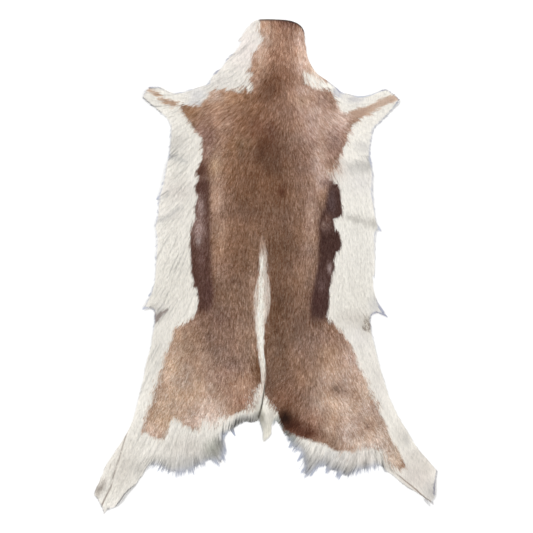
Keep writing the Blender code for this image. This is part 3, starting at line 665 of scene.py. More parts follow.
# Numbers that repeat.

def mixed(a, b, share):
    """a and b mixed by share, for arrays of numbers or of colours."""
    return a + (b - a) * share


def smooth_step(low, high, value):
    """0 below low, 1 above high and a soft change between them."""
    t = np.clip((value - low) / (high - low), 0.0, 1.0)
    return t * t * (3.0 - 2.0 * t)


def hashed(ix, iy, seed):
    """A repeatable number from 0 to 1 for each place of a whole-number lattice."""
    mask = 0xFFFFFFFF
    h = (ix.astype(np.int64) * 374761393 + iy.astype(np.int64) * 668265263 + seed * 974634777) & mask
    h = ((h ^ (h >> 13)) * 1274126177) & mask
    h = ((h ^ (h >> 16)) * 668265263) & mask
    return ((h ^ (h >> 15)) & 0xFFFFFF) / 0xFFFFFF


def noise(x, y, scale_x, scale_y, seed):
    """Smooth uneven numbers from -1 to 1, with lumps of the size of the scales."""
    u, v = x / scale_x, y / scale_y
    iu, iv = np.floor(u), np.floor(v)
    fu, fv = u - iu, v - iv
    fu, fv = fu * fu * (3 - 2 * fu), fv * fv * (3 - 2 * fv)
    low = mixed(hashed(iu, iv, seed), hashed(iu + 1, iv, seed), fu)
    high = mixed(hashed(iu, iv + 1, seed), hashed(iu + 1, iv + 1, seed), fu)
    return 2.0 * mixed(low, high, fv) - 1.0


def uneven(start, x, y, patches):
    """start with smooth noise of several sizes added to it."""
    for row in patches:
        start = start + row.strength * noise(x, y, row.wide, row.long, row.seed)
    return start


def soft_spot(x, y, middle, reach):
    """1 in the middle of a soft oval patch, fading outwards."""
    return np.exp(-0.5 * (((x - middle[0]) / reach[0]) ** 2 + ((y - middle[1]) / reach[1]) ** 2))


def heading(angle):
    """Unit steps along angles in degrees."""
    turn = np.radians(angle)
    return np.stack((np.cos(turn), np.sin(turn)), axis=-1)


# Lines and outlines.

def even_points(points, pitch):
    """Points about a pitch apart on a smooth curve through a run's own, with both of its ends."""
    fine = []
    places = [np.array(p, float) for p in (points[0], *points, points[-1])]
    for p0, p1, p2, p3 in zip(places, places[1:], places[2:], places[3:]):
        for t in np.arange(8) / 8:
            fine.append(0.5 * (2 * p1 + (p2 - p0) * t + (2 * p0 - 5 * p1 + 4 * p2 - p3) * t ** 2
                               + (3 * p1 - p0 - 3 * p2 + p3) * t ** 3))
    fine = np.array(fine + [places[-1]])
    travelled = np.concatenate(([0.0], np.cumsum(np.hypot(*np.diff(fine, axis=0).T))))
    count = max(3, round(travelled[-1] / pitch) + 1)
    stops = np.linspace(0.0, travelled[-1], count)
    return np.column_stack([np.interp(stops, travelled, fine[:, i]) for i in range(2)])


def nearest_on_line(x, y, line, closed=False):
    """Distance of each point from a line of straight pieces, and the share of the line passed there."""
    line = np.asarray(line, float)
    starts = line if closed else line[:-1]
    steps = (np.roll(line, -1, axis=0) if closed else line[1:]) - starts
    nearest = np.full(x.shape, np.inf)
    passed = np.zeros(x.shape)
    for i, ((ax, ay), (dx, dy)) in enumerate(zip(starts, steps)):
        along = np.clip(((x - ax) * dx + (y - ay) * dy) / (dx * dx + dy * dy + 1e-12), 0.0, 1.0)
        away = np.hypot(x - ax - along * dx, y - ay - along * dy)
        passed = np.where(away < nearest, (i + along) / len(starts), passed)
        nearest = np.minimum(nearest, away)
    return nearest, passed


def distance_to_line(x, y, line, closed=False):
    """Distance of each point from a line of straight pieces."""
    return nearest_on_line(x, y, line, closed)[0]


def depth_inside(x, y, outline):
    """Distance to a closed outline, positive inside it."""
    within = np.zeros(x.shape, bool)
    ends = np.roll(outline, -1, axis=0)
    for (x0, y0), (x1, y1) in zip(outline, ends):
        if y0 != y1:
            within ^= ((y0 > y) != (y1 > y)) & (x < (x1 - x0) * (y - y0) / (y1 - y0) + x0)
    distance = distance_to_line(x, y, outline, closed=True)
    return np.where(within, distance, -distance)


class Field:
    """Numbers worked out once on a fine grid over the hide, and read anywhere on it."""

    REACH = (404.0, 556.0)  # from the middle of the hide to each side

    def __init__(self, work_out, pitch=2.0):
        self.pitch = pitch
        x, y = np.meshgrid(*(np.arange(-reach, reach + pitch, pitch) for reach in self.REACH))
        self.values = work_out(x.ravel(), y.ravel()).reshape(x.shape)

    def __call__(self, x, y):
        rows, columns = self.values.shape
        u = np.clip((x + self.REACH[0]) / self.pitch, 0, columns - 1.001)
        v = np.clip((y + self.REACH[1]) / self.pitch, 0, rows - 1.001)
        iu, iv = u.astype(int), v.astype(int)
        low = mixed(self.values[iv, iu], self.values[iv, iu + 1], u - iu)
        high = mixed(self.values[iv + 1, iu], self.values[iv + 1, iu + 1], u - iu)
        return mixed(low, high, v - iv)


def rim_lines():
    """The line where the tips of the hair end, and the cut edge of the skin behind it."""
    tips = []
    edge = []
    for run in RIM:
        line = even_points(run.points, RIM_PITCH)[:-1]
        share = np.arange(len(line)) / len(line)
        lean = mixed(run.lean_from, run.lean_to, share)
        lock = run.lock * np.clip(np.minimum(share, 1 - share) / LOCK_FADE, 0, 1)
        tips.append(line)
        edge.append(line - lock[:, None] * heading(lean))
    return np.concatenate(tips), np.concatenate(edge)


def round_bump(distance, reach):
    """1 in the middle of a round bump and exactly 0 from its reach outwards."""
    return np.clip(1.0 - (distance / reach) ** 2, 0.0, 1.0) ** 2


def by_rows(y, rows, name):
    """A column of a table whose rows go down the back, at each y."""
    rows = rows[::-1]
    return np.interp(y, [row.y for row in rows], [getattr(row, name) for row in rows])


TIPS, EDGE = rim_lines()


def skin_lift(x, y):
    """How far the underside of the skin stands off the floor."""
    lift = np.zeros(x.shape)
    for bump in LIFTS:
        lift = np.maximum(lift, bump.height * round_bump(np.hypot(x - bump.x, y - bump.y), bump.reach))
    return lift


def fan_line(across, y):
    """The x of a line down the fan: its left edge for -1 and its right edge for 1."""
    left, right = by_rows(y, FAN, "left"), by_rows(y, FAN, "right")
    return 0.5 * (left + right) + 0.5 * across * (right - left)


def fan_across(x, y):
    """Where a place lies across the fan: -1 at its left edge and 1 at its right edge."""
    middle = fan_line(0.0, y)
    return (x - middle) / (fan_line(1.0, y) - middle)


def fan_ridge(x, y):
    """Height of the ridge of long hair down the loin."""
    along = smooth_step(74, 40, y) * smooth_step(-290, -260, y)
    return FAN_HEIGHT * along * round_bump(fan_across(x, y), FAN_SPREAD)


def coat_relief(x, y):
    """Thickness of the skin with its hair, before it thins towards the rim."""
    coat = uneven(PILE, x, y, COAT_LUMPS) + fan_ridge(x, y)
    for fold in FOLDS:
        coat += fold.height * round_bump(distance_to_line(x, y, fold.points), fold.reach)
    for bump in DIMPLES:
        coat += bump.height * round_bump(np.hypot(x - bump.x, y - bump.y), bump.reach)
    return coat


def lay_steps(x, y):
    """Unit steps along the lie of the hair, as a complex number for each place."""
    total = 0.02 * np.exp(-0.5j * math.pi) * np.ones(x.shape, complex)
    for lay in LAY:
        weight = np.exp(-0.5 * ((x - lay.x) ** 2 + (y - lay.y) ** 2) / lay.reach ** 2)
        total += weight * np.exp(1j * math.radians(lay.angle))
    return total / np.abs(total)


in_skin = Field(lambda x, y: depth_inside(x, y, EDGE))
in_tips = Field(lambda x, y: depth_inside(x, y, TIPS))
in_saddle = Field(lambda x, y: depth_inside(x, y, np.array(SADDLE, float)))
lift_at = Field(skin_lift)
relief_at = Field(coat_relief)
lay_at = Field(lay_steps)


def drawn_out(seed, pitch, reach):
    """Random numbers, drawn out along the lie of the hair to so many millimetres each way."""
    grain = Field(lambda x, y: np.random.default_rng(seed).normal(size=len(x)), pitch)

    def along(x, y):
        total = grain.values.ravel().copy()
        for way in (pitch, -pitch):
            px, py = x, y
            for _ in range(round(reach / pitch)):
                step = lay_at(px, py)
                px, py = px + way * step.real, py + way * step.imag
                total += grain(px, py)
        return total / np.std(total)

    return Field(along, pitch)


fine_streaks = drawn_out(3, 0.9, 4.0)
lock_streaks = drawn_out(4, 3.0, 30.0)
strand_lines = drawn_out(5, 1.6, 26.0)
spike_lines = drawn_out(6, 1.1, 24.0)


def coat_top(x, y):
    """Height of the tips of the coat above the floor."""
    depth = in_skin(x, y)
    inside = RIM_PILE + (relief_at(x, y) - RIM_PILE) * (1.0 - np.exp(-np.maximum(depth, 0) / RIM_FALL))
    outside = RIM_PILE * np.clip(1.0 + depth / DROOP, 0.0, 1.0)
    return np.maximum(lift_at(x, y) + np.where(depth > 0, inside, outside), FLOOR_GAP + 0.3)


# Colours.

def linear(colour):
    """sRGB numbers from 0 to 255 as linear ones from 0 to 1."""
    c = np.clip(np.asarray(colour, float) / 255.0, 0.0, 1.0)
    return np.where(c <= 0.04045, c / 12.92, ((c + 0.055) / 1.055) ** 2.4)


def with_tints(colours, x, y, tints):
    """Colours with soft patches laid over them."""
    for tint in tints:
        share = tint.strength * soft_spot(x, y, (tint.x, tint.y), (tint.reach_x, tint.reach_y))
        colours = mixed(colours, np.array(tint.colour, float), share[:, None])
    return colours


def with_lines(colours, x, y, lines, stray=0.0):
    """Colours with narrow marks laid over them. stray moves their edges by so many millimetres."""
    for line in lines:
        away, passed = nearest_on_line(x, y, line.points)
        half = mixed(line.width_from, line.width_to, passed)
        share = line.strength * smooth_step(half + line.soft, half - line.soft, away + stray)
        colours = mixed(colours, np.array(line.colour, float), share[:, None])
    return colours


def fan_share(x, y):
    """How far the white of the fan covers the coat, from 0 to 1."""
    along = smooth_step(80, 20, y) * smooth_step(-290, -270, y)
    return smooth_step(1.35, 0.5, np.abs(fan_across(x, y))) * along


def edge_spread(x, y):
    """How ragged the edge between the two colours is: least on the flanks, most on the thighs."""
    return 0.6 + 0.5 * smooth_step(215, 260, y) + 0.35 * smooth_step(-70, -120, y)


def edge_blend(x, y):
    """How far hairs of the two colours mix at the edge between them, in the few places where they do."""
    return sum(soft.height * round_bump(np.hypot(x - soft.x, y - soft.y), soft.reach) for soft in BLENDS)


def mottled(brown, x, y):
    """The coat's own unevenness: darker and lighter patches, some greyer and some yellower."""
    tone = uneven(1.0, x, y, COAT_TONES)
    hue = noise(x, y, 24, 30, seed=25)
    warmth = np.column_stack((1.0 + 0.01 * hue, np.ones(len(x)), 1.0 - 0.024 * hue))
    return brown * tone[:, None] * warmth


def with_specks(colours, x, y):
    """Colours with the specks laid over them."""
    away = np.hypot((x - SPECKS.x) / SPECKS.reach_x, (y - SPECKS.y) / SPECKS.reach_y)
    speck = smooth_step(-0.1, 0.25, noise(x, y, 2.6, 3.4, seed=41))
    share = SPECKS.strength * smooth_step(1.3, 0.7, away) * speck
    return mixed(colours, np.array(SPECKS.colour, float), share[:, None])


def coat_colours(x, y, stray):
    """The coat's sRGB colours. stray moves the edges between them by so many millimetres."""
    spread = edge_spread(x, y)
    blend = edge_blend(x, y)
    ragged = spread * uneven(stray, x, y, EDGE_WAVES)
    brown = np.tile(np.array(BROWN, float), (len(x), 1))
    brown = mottled(with_tints(brown, x, y, COAT_TINTS), x, y)
    left = smooth_step(0, STRIPE_SOFT, by_rows(y, STRIPES, "left") - x + STRIPE_RAGGED * ragged)
    left *= by_rows(y + ragged, STRIPES, "left_dark")
    right = smooth_step(0, STRIPE_SOFT, x - by_rows(y, STRIPES, "right") + STRIPE_RAGGED * ragged)
    right *= by_rows(y + ragged, STRIPES, "right_dark")
    brown = mixed(brown, np.array(LEFT_STRIPE, float), np.clip(left, 0, 1)[:, None])
    brown = mixed(brown, np.array(RIGHT_STRIPE, float), np.clip(right, 0, 1)[:, None])
    brown = with_tints(brown, x, y, STRIPE_TINTS)
    fan = fan_share(x + 0.5 * stray, y)
    brown = mixed(brown, np.array(FAN_EDGE, float), FAN_COVER * fan[:, None])

    white = np.tile(np.array(WHITE, float), (len(x), 1))
    white = with_tints(white, x, y, WHITE_TINTS)
    white = with_specks(with_lines(white, x, y, BANDS, 0.5 * ragged), x, y)
    whiteness = smooth_step(1.0, -1.0, (in_saddle(x, y) + ragged + blend * stray) / (1.0 + spread + blend))
    return mixed(brown * COAT_GAIN, white, whiteness[:, None]), whiteness


# Meshes.

def new_piece(name, vertices, faces_of, faces, colours, materials, smooth=True):
    """A piece of the rug from arrays of triangles, with its coat colours and a top-view map."""
    mesh = bpy.data.meshes.new(name)
    mesh.vertices.add(len(vertices))
    mesh.vertices.foreach_set("co", (np.asarray(vertices) * MM).astype(np.float32).ravel())
    mesh.loops.add(faces.size)
    mesh.loops.foreach_set("vertex_index", faces.astype(np.int32).ravel())
    mesh.polygons.add(len(faces))
    mesh.polygons.foreach_set("loop_start", np.arange(0, faces.size, 3, dtype=np.int32))
    mesh.polygons.foreach_set("material_index", np.asarray(faces_of, dtype=np.int32))
    mesh.update(calc_edges=True)
    coat = mesh.color_attributes.new("coat", "FLOAT_COLOR", "POINT")
    rgba = np.ones((len(vertices), 4), np.float32)
    rgba[:, :3] = linear(colours)
    coat.data.foreach_set("color", rgba.ravel())
    flat = np.asarray(vertices)[:, :2]
    low = flat.min(axis=0)
    span = (flat.max(axis=0) - low).max()
    layer = mesh.uv_layers.new(name="OFBake")
    layer.data.foreach_set("uv", (((flat - low) / span)[faces.ravel()]).astype(np.float32).ravel())
    for material in materials:
        mesh.materials.append(material)
    if smooth:
        mesh.shade_smooth()
    piece = bpy.data.objects.new(name, mesh)
    bpy.context.scene.collection.objects.link(piece)
    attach(piece, "root")
    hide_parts("hide")
    return piece


def twice_the_area():
    """Twice the flat area inside the skin's cut edge, positive where the edge runs anticlockwise."""
    x, y = EDGE.T
    return np.sum(x * np.roll(y, -1) - np.roll(x, -1) * y)


def closed_sheet(name, grid, bottom_and_top, shade, materials, under_colour, smooth):
    """A closed sheet over the whole skin, cut to its edge. bottom_and_top gives both of its heights."""
    low, high = EDGE.min(axis=0), EDGE.max(axis=0)
    gx, gy = np.meshgrid(np.arange(low[0], high[0], grid), np.arange(low[1], high[1], grid))
    gx[1::2] += grid / 2
    gx, gy = gx.ravel(), gy.ravel()
    keep = in_skin(gx, gy) > 0.45 * grid
    places = np.concatenate((EDGE, np.column_stack((gx[keep], gy[keep]))))
    ring = np.arange(len(EDGE))
    inside_only = 1
    _, _, tris, sources, _, _ = delaunay_2d_cdt(
        [Vector(p) for p in places], [], [ring.tolist()], inside_only, 1e-5)
    tris = np.array([[sources[i][0] for i in tri] for tri in tris])
    a, b, c = (places[tris[:, i]] for i in range(3))
    turn = np.cross(b - a, c - a)
    tris[turn < 0] = tris[turn < 0][:, ::-1]
    tris = tris[np.abs(turn) > 1e-6]

    x, y = places.T
    bottom, top = bottom_and_top(x, y)
    count = len(places)
    under = np.column_stack((x, y, bottom))
    over = np.column_stack((x, y, top))
    step = np.roll(ring, -1)
    around = twice_the_area() > 0
    first, second = (ring, step) if around else (step, ring)
    walls = np.concatenate((
        np.column_stack((first + count, second + count, second)),
        np.column_stack((first + count, second, first)),
    ))
    faces = np.concatenate((tris, tris[:, ::-1] + count, walls))
    faces_of = np.concatenate((np.zeros(len(tris)), np.ones(len(tris)), np.ones(len(walls))))
    colours, whiteness = coat_colours(x, y, np.zeros(count))
    # Painted shade under the blades: the coat's colours darkened by shade, half as much on the white.
    colours *= mixed(shade, 0.5 + 0.5 * shade, whiteness)[:, None]
    colours = with_lines(colours, x, y, SHADE_AND_MARK_LINES)
    colours = np.concatenate((colours, np.tile(np.array(under_colour, float), (count, 1))))
    return new_piece(name, np.concatenate((over, under)), faces_of, faces, colours, materials, smooth)


def skin_heights(x, y):
    """The underside and the hair side of the skin, flat on the floor but for its lifted waves."""
    lift = lift_at(x, y)
    return lift, lift + SKIN_THICKNESS


def undercoat_heights(x, y):
    """The dense fine hair under the blades, which thins to nothing at the rim."""
    root = lift_at(x, y) + SKIN_THICKNESS
    full = UNDERCOAT * smooth_step(0.0, 14.0, in_skin(x, y))
    return root, root + 0.1 + full * np.maximum(coat_top(x, y) - root, 0.0)


# One hair.
SHORTEST = 2.5  # its least length
CUTS = 3  # times that it is shortened to its place in the outline
RISE = (0.82, 1.0)  # where its tip ends, as shares of the coat's height
CLUMP_RISE = 0.08  # how much higher or lower the tips of a whole clump end
LOCK_RISE = 0.04  # and those of a lock
BEND = 0.008  # how far its tip lies aside, as a share of its length, for each degree of wander
BEND_POWER = 1.6  # how the bend grows along it
RISE_POWER = 3  # how soon it rises
SECOND_WIDTH = 0.72  # its width at its second station, as a share of its widest
# Painted shade and light along each hair: darker towards its root, deep in the coat, and lighter at its tip,
# on top of it.
ROOT_TONE = 0.75  # its brightness at its root
FIRST_TONE = 0.96  # at its first station
TIP_TONE = 1.05  # and at its tip

Roots = namedtuple("Roots", "x y step length to_middle number")
Hair = namedtuple("Hair", (
    "name",
    "spacing",  # between roots
    "where",  # says which roots are kept
    "length",  # says how long the hair is at its root
    "width",  # of a hair at its widest
    "stations",  # places along a hair between its root and its tip, as shares
    "clump",  # size of its clumps
    "pull",  # how far a tip is drawn to the middle of its clump
    "wander",  # how far its direction strays, in degrees
    "roll",  # how far it is turned about its own line, in degrees
    "seed",
))


def white_share(x, y):
    """How white the coat is at a root, from the hair that it carries further on."""
    lay = lay_at(x, y)
    return smooth_step(3.0, -3.0, in_saddle(x + lay.real * 8, y + lay.imag * 8))


def is_brown(x, y, rng):
    """Whether a root carries a brown hair."""
    return white_share(x, y) < rng.uniform(0.02, 0.98, x.shape)


def is_white(x, y, rng):
    """Whether a root carries a white hair."""
    return white_share(x, y) > rng.uniform(0.02, 0.98, x.shape)


def is_fan(x, y, rng):
    """Whether a root carries a hair of the fan, whose own hairs thin out to its sides and its top."""
    across = np.abs(fan_across(x, y))
    strand = 0.5 + 0.5 * noise(9.0 * fan_across(x, y), y, 1.1, 26, seed=61)
    full = smooth_step(1.4, 0.35, across) ** 2 * smooth_step(92, 30, y) ** 2
    full = mixed(full, smooth_step(1.0, 0.7, across), smooth_step(-150, -190, y))
    chosen = full * mixed(0.3, 1.7, strand) > rng.uniform(0, 1, y.shape)
    return (across < 1.4) & (y > -262) & chosen


def between(kind, low, high):
    """A rule that keeps the roots of a kind between two places along the back."""
    return lambda x, y, rng: kind(x, y, rng) & (y > low) & (y <= high)


def coat_length(x, y):
    """Length of the short coat: longer on the neck and beside the white."""
    own = 7.0 + 4.5 * smooth_step(240, 330, y) + 0.5 * smooth_step(-120, -200, y)
    return mixed(own, 17.0, white_share(x, y))


def fringe_length(x, y):
    """Length of the hair of the white coat, longest over the rump."""
    rump = in_fringe(x, y, -330, -380)
    neck = on_left_neck(x, y, 400, 430, -20, -35)
    return mixed(20.0, 42.0, rump) + 5.0 * neck


def fan_length(x, y):
    """Length of the long hair of the fan, shortest where it starts."""
    return mixed(20.0, 34.0, smooth_step(60, -40, y)) * smooth_step(-292, -240, y)


def clump_of(x, y, size, seed):
    """The middle of the clump that each root belongs to, and a number from 0 to 1 for that clump."""
    iu, iv = np.floor(x / size), np.floor(y / size)
    best = np.full(x.shape, np.inf)
    middle_x, middle_y, number = x.copy(), y.copy(), np.zeros(x.shape)
    for du in (-1, 0, 1):
        for dv in (-1, 0, 1):
            cu, cv = iu + du, iv + dv
            cx = (cu + hashed(cu, cv, seed)) * size
            cy = (cv + hashed(cu, cv, seed + 1)) * size
            away = (x - cx) ** 2 + (y - cy) ** 2
            near = away < best
            best = np.where(near, away, best)
            middle_x, middle_y = np.where(near, cx, middle_x), np.where(near, cy, middle_y)
            number = np.where(near, hashed(cu, cv, seed + 2), number)
    return middle_x, middle_y, number


def in_fringe(x, y, y_from, y_to, x_from=262, x_to=236):
    """How far a place is in the fringe of the rump: down the hide from y_from to y_to, and inside x_to."""
    return smooth_step(y_from, y_to, y) * smooth_step(x_from, x_to, np.abs(x))


def on_left_neck(x, y, y_from, y_to, x_from, x_to):
    """How far a place is on the white left side of the neck: up from y_from and left from x_from."""
    return smooth_step(y_from, y_to, y) * smooth_step(x_from, x_to, x)


def rim_reach(x, y):
    """How far the longest locks pass the outline, by place: most over the rump, least by the cut edges."""
    rump = in_fringe(x, y, -320, -380) * smooth_step(30, 60, np.abs(x))
    close = np.maximum(smooth_step(380, 400, y), smooth_step(-130, -160, y)) * (1.0 - rump)
    return mixed(2.5, 0.7, close) + 14.0 * rump


def rim_blue_shade(x, y):
    """How far thin hair at the rim takes the painted blue-grey shade of the floor's shadow, by place."""
    rump = in_fringe(x, y, -315, -345, 262, 240) * smooth_step(14, 34, np.abs(x))
    legs = smooth_step(-105, -150, y) * (1.0 - rump)
    neck = on_left_neck(x, y, 395, 415, -25, -40)
    return mixed(0.7 + 0.15 * rump, 0.28, np.maximum(legs, neck))


def rim_shade(x, y, depth):
    """How dark the white hair is by the rim, where it thins over the floor's shadow, by place and depth."""
    reach = mixed(RIGHT_RUMP_SHADE_DEPTH, LEFT_RUMP_SHADE_DEPTH, x < 0)
    dark = RUMP_SHADE * in_fringe(x, y, -350, -385, 236, 200) * smooth_step(reach, 0.5 * reach, depth)
    for row in RIM_SHADES:
        near = round_bump(np.hypot(x - row.x, y - row.y), row.reach)
        dark = np.maximum(dark, row.strength * near * smooth_step(row.depth_from, row.depth_to, depth))
    return dark


def pale_streaks(x, y):
    """How much the white hair's streaks differ in brightness, by place."""
    rump = in_fringe(x, y, -330, -390, 275, 245)
    chest = soft_spot(x, y, (-200, 215), (40, 70))
    return 0.012 + 0.06 * rump + 0.02 * chest


def strand_gap_shade(x, y):
    """How dark the painted shade in the thin gaps between the locks of white hair is, by place."""
    left = smooth_step(-150, -190, x) * smooth_step(-150, -120, y)
    rump = in_fringe(x, y, -340, -400, 275, 245)
    neck = on_left_neck(x, y, 360, 390, -20, -50)
    leg = smooth_step(-130, -180, y) * smooth_step(-200, -230, x)
    chest = soft_spot(x, y, (-200, 250), (44, 60))
    by_place = 0.85 + 0.6 * noise(x, y, 30, 30, seed=71)
    return by_place * (0.02 + 0.13 * left + 0.06 * rump + 0.17 * neck + 0.05 * leg + 0.06 * chest)


def lock_gap_shade(x, y):
    """How dark the painted shade in the wider gaps between the locks of the fringe is, by place: most at the
    rim.
    """
    fringe = in_fringe(x, y, -306, -330, 275, 245) * smooth_step(16, 30, np.abs(x - TAIL_MIDDLE))
    return fringe * mixed(0.08, 0.55, smooth_step(26, 5, in_tips(x, y)))


def grained(colours, grain, whiteness):
    """Colours made paler and greyer where the grain is above 0, and darker and richer where it is below: the
    hairs' own tone, whose greying on the pale side is a painted glint.
    """
    bright = colours.mean(axis=1)
    depth = mixed(np.clip(bright, 40, 116), 120.0, whiteness * (grain > 0))
    depth = mixed(depth, bright, whiteness * (grain < 0))
    shift = (depth * np.clip(grain, -0.5, 0.5))[:, None]
    brown = mixed(np.array(DARK_GRAIN), np.array(PALE_GRAIN), smooth_step(130, 175, bright)[:, None])
    return colours + shift * mixed(brown, np.ones(3), whiteness[:, None])


def with_shade(colours, x, y, whiteness):
    """Colours with painted shade on the white hair: darker by the rim and in the gaps between its locks, and
    blue-grey where it ends.
    """
    depth = in_tips(x, y)
    reach = 1.0 + 0.9 * rim_reach(x, y)
    gap = strand_gap_shade(x, y) * smooth_step(0.2, 1.8, strand_lines(x, y))
    gap = np.maximum(gap, lock_gap_shade(x, y) * smooth_step(0.1, -1.5, spike_lines(x, y)))
    lit = (1.0 - whiteness * rim_shade(x, y, depth)) * (1.0 - whiteness * gap)
    rim = whiteness * smooth_step(reach, -0.4 * reach, depth)
    return mixed(colours * lit[:, None], np.array(RIM_SHADE_BLUE, float), (rim_blue_shade(x, y) * rim)[:, None])


def fan_colours(x, y, across, rng):
    """The fan's own colours: bright along its core, and darker and browner to its edges."""
    strand = noise(9.0 * across, y, 1.3, 30, 62)
    wide = 5.0 + 5.0 * smooth_step(10, -110, y)
    aside = np.abs(x - by_rows(y, FAN, "core")) + rng.normal(0, 0.8, len(x)) + 1.2 * strand
    core = smooth_step(wide, 0.3 * wide, aside) * smooth_step(38, 16, y) * smooth_step(-260, -170, y)
    edge = smooth_step(0.6, 1.3, np.abs(across) + rng.normal(0, 0.15, len(x)) + 0.2 * strand)
    edge = np.maximum(edge, smooth_step(18, 52, y))
    colours = mixed(np.array(FAN_SIDE, float), np.array(FAN_CORE, float), core[:, None])
    edge *= 0.5 + 0.35 * smooth_step(24, 56, y)
    return mixed(colours, np.array(FAN_EDGE, float), edge[:, None]) * (1.0 - 0.07 * strand)[:, None]


def along_hair(x, y, step, length, share=1.0):
    """Where hairs are at a share of their length, if they are straight."""
    return x + step[:, 0] * length * share, y + step[:, 1] * length * share


def scattered(hair, rng):
    """Hair all over the skin, where its own rule keeps it, cut to the outline of the tips."""
    low, high = EDGE.min(axis=0), EDGE.max(axis=0)
    gx, gy = np.meshgrid(np.arange(low[0], high[0], hair.spacing), np.arange(low[1], high[1], hair.spacing))
    x = (gx + rng.uniform(-0.5, 0.5, gx.shape) * hair.spacing).ravel()
    y = (gy + rng.uniform(-0.5, 0.5, gy.shape) * hair.spacing).ravel()
    keep = (in_skin(x, y) > 0.4) & hair.where(x, y, rng)
    x, y = x[keep], y[keep]
    count = len(x)

    middle_x, middle_y, number = clump_of(x, y, hair.clump, hair.seed)
    angle = np.degrees(np.angle(lay_at(x, y)))
    angle += hair.wander * (noise(x, y, 26, 26, hair.seed) + 1.4 * (number - 0.5) + rng.normal(0, 0.6, count))
    step = heading(angle)
    to_middle = (middle_y - y) * step[:, 0] - (middle_x - x) * step[:, 1]
    length = hair.length(x, y) * rng.uniform(0.78, 1.12, count) * mixed(0.92, 1.1, number)
    point = np.clip(1.0 - 1.7 * np.abs(to_middle) / hair.clump, 0.0, 1.0)
    clumped = rim_reach(x, y) * (0.3 * number ** 2 * point - 0.3)
    for _ in range(CUTS):
        tip_x, tip_y = along_hair(x, y, step, length)
        spiked = rim_reach(x, y) * smooth_step(0.0, 1.1, spike_lines(tip_x, tip_y))
        over = -in_tips(tip_x, tip_y) - clumped - spiked + rng.uniform(0, 1.5, count)
        length = np.maximum(length - np.maximum(over, 0.0), SHORTEST)
    return Roots(x, y, step, length, to_middle, number)


def down_the_fan(hair, rng):
    """The hair of the fan, which lies straight down the back."""
    roots = scattered(hair, rng)
    angle = -90.0 + hair.wander * (1.5 * (roots.number - 0.5) + rng.normal(0, 0.6, len(roots.x)))
    return roots._replace(step=heading(angle))


def in_wisps(hair, rng):
    """The hair of the single wisps, each of them drawn to its tip."""
    x, y, angle, length, off, number = [], [], [], [], [], []
    for wisp in WISPS:
        way = complex(wisp.tip_x - wisp.x, wisp.tip_y - wisp.y)
        begins = rng.uniform(0, 0.35, WISP_HAIRS)
        aside = wisp.half * rng.uniform(-1, 1, WISP_HAIRS)
        root = complex(wisp.x, wisp.y) + begins * way + aside * 1j * way / abs(way)
        x.append(root.real)
        y.append(root.imag)
        angle.append(np.full(WISP_HAIRS, math.degrees(math.atan2(way.imag, way.real))))
        length.append(abs(way) * (1 - begins) * rng.uniform(0.8, 1.0, WISP_HAIRS))
        off.append(aside)
        number.append(rng.uniform(0, 1, WISP_HAIRS))
    x, y, angle, length, off, number = (np.concatenate(rows) for rows in (x, y, angle, length, off, number))
    return Roots(x, y, heading(angle), length, -off, number)


def hair_colours(roots, in_fan, rng):
    """The colour of each hair, taken from the coat where it lies on top, and how white it is."""
    x, y, step, length, _, number = roots
    count = len(x)
    share = 0.55 + edge_spread(x, y) * (0.4 * (number - 0.5) + rng.normal(0, 0.1, count))
    colours, whiteness = coat_colours(*along_hair(x, y, step, length, np.clip(share, 0.1, 1.0)),
                                      rng.normal(0, 1.5, count) + 3.0 * (number - 0.5))
    half_x, half_y = along_hair(x, y, step, length, 0.5)
    fine, lock = fine_streaks(half_x, half_y), lock_streaks(half_x, half_y)
    single = rng.normal(0, 1, count)
    if in_fan:
        across = fan_across(x, y)
        colours = fan_colours(fan_line(across, half_y), half_y, across, rng)
        whiteness = np.ones(count)
        grain = FAN_HAIR.fine * fine + FAN_HAIR.single * single
    else:
        grain = BROWN_HAIR.fine * fine + BROWN_HAIR.lock * lock + BROWN_HAIR.single * single
        pale_grain = pale_streaks(x, y) * (WHITE_HAIR.fine * fine + WHITE_HAIR.lock * lock)
        pale_grain += WHITE_HAIR.single * single
        grain = mixed(grain, pale_grain, whiteness)
    return grained(colours, grain, whiteness), whiteness


def blade_faces(count, stations):
    """The triangles of so many blades, each with its root first, then two points a station, then its tip."""
    per = 2 * stations + 2
    pattern = [(0, 2, 1)]
    for a in range(1, per - 3, 2):
        pattern += [(a, a + 1, a + 3), (a, a + 3, a + 2)]
    pattern.append((per - 3, per - 2, per - 1))
    return (np.arange(count)[:, None, None] * per + np.array(pattern)[None]).reshape(-1, 3)


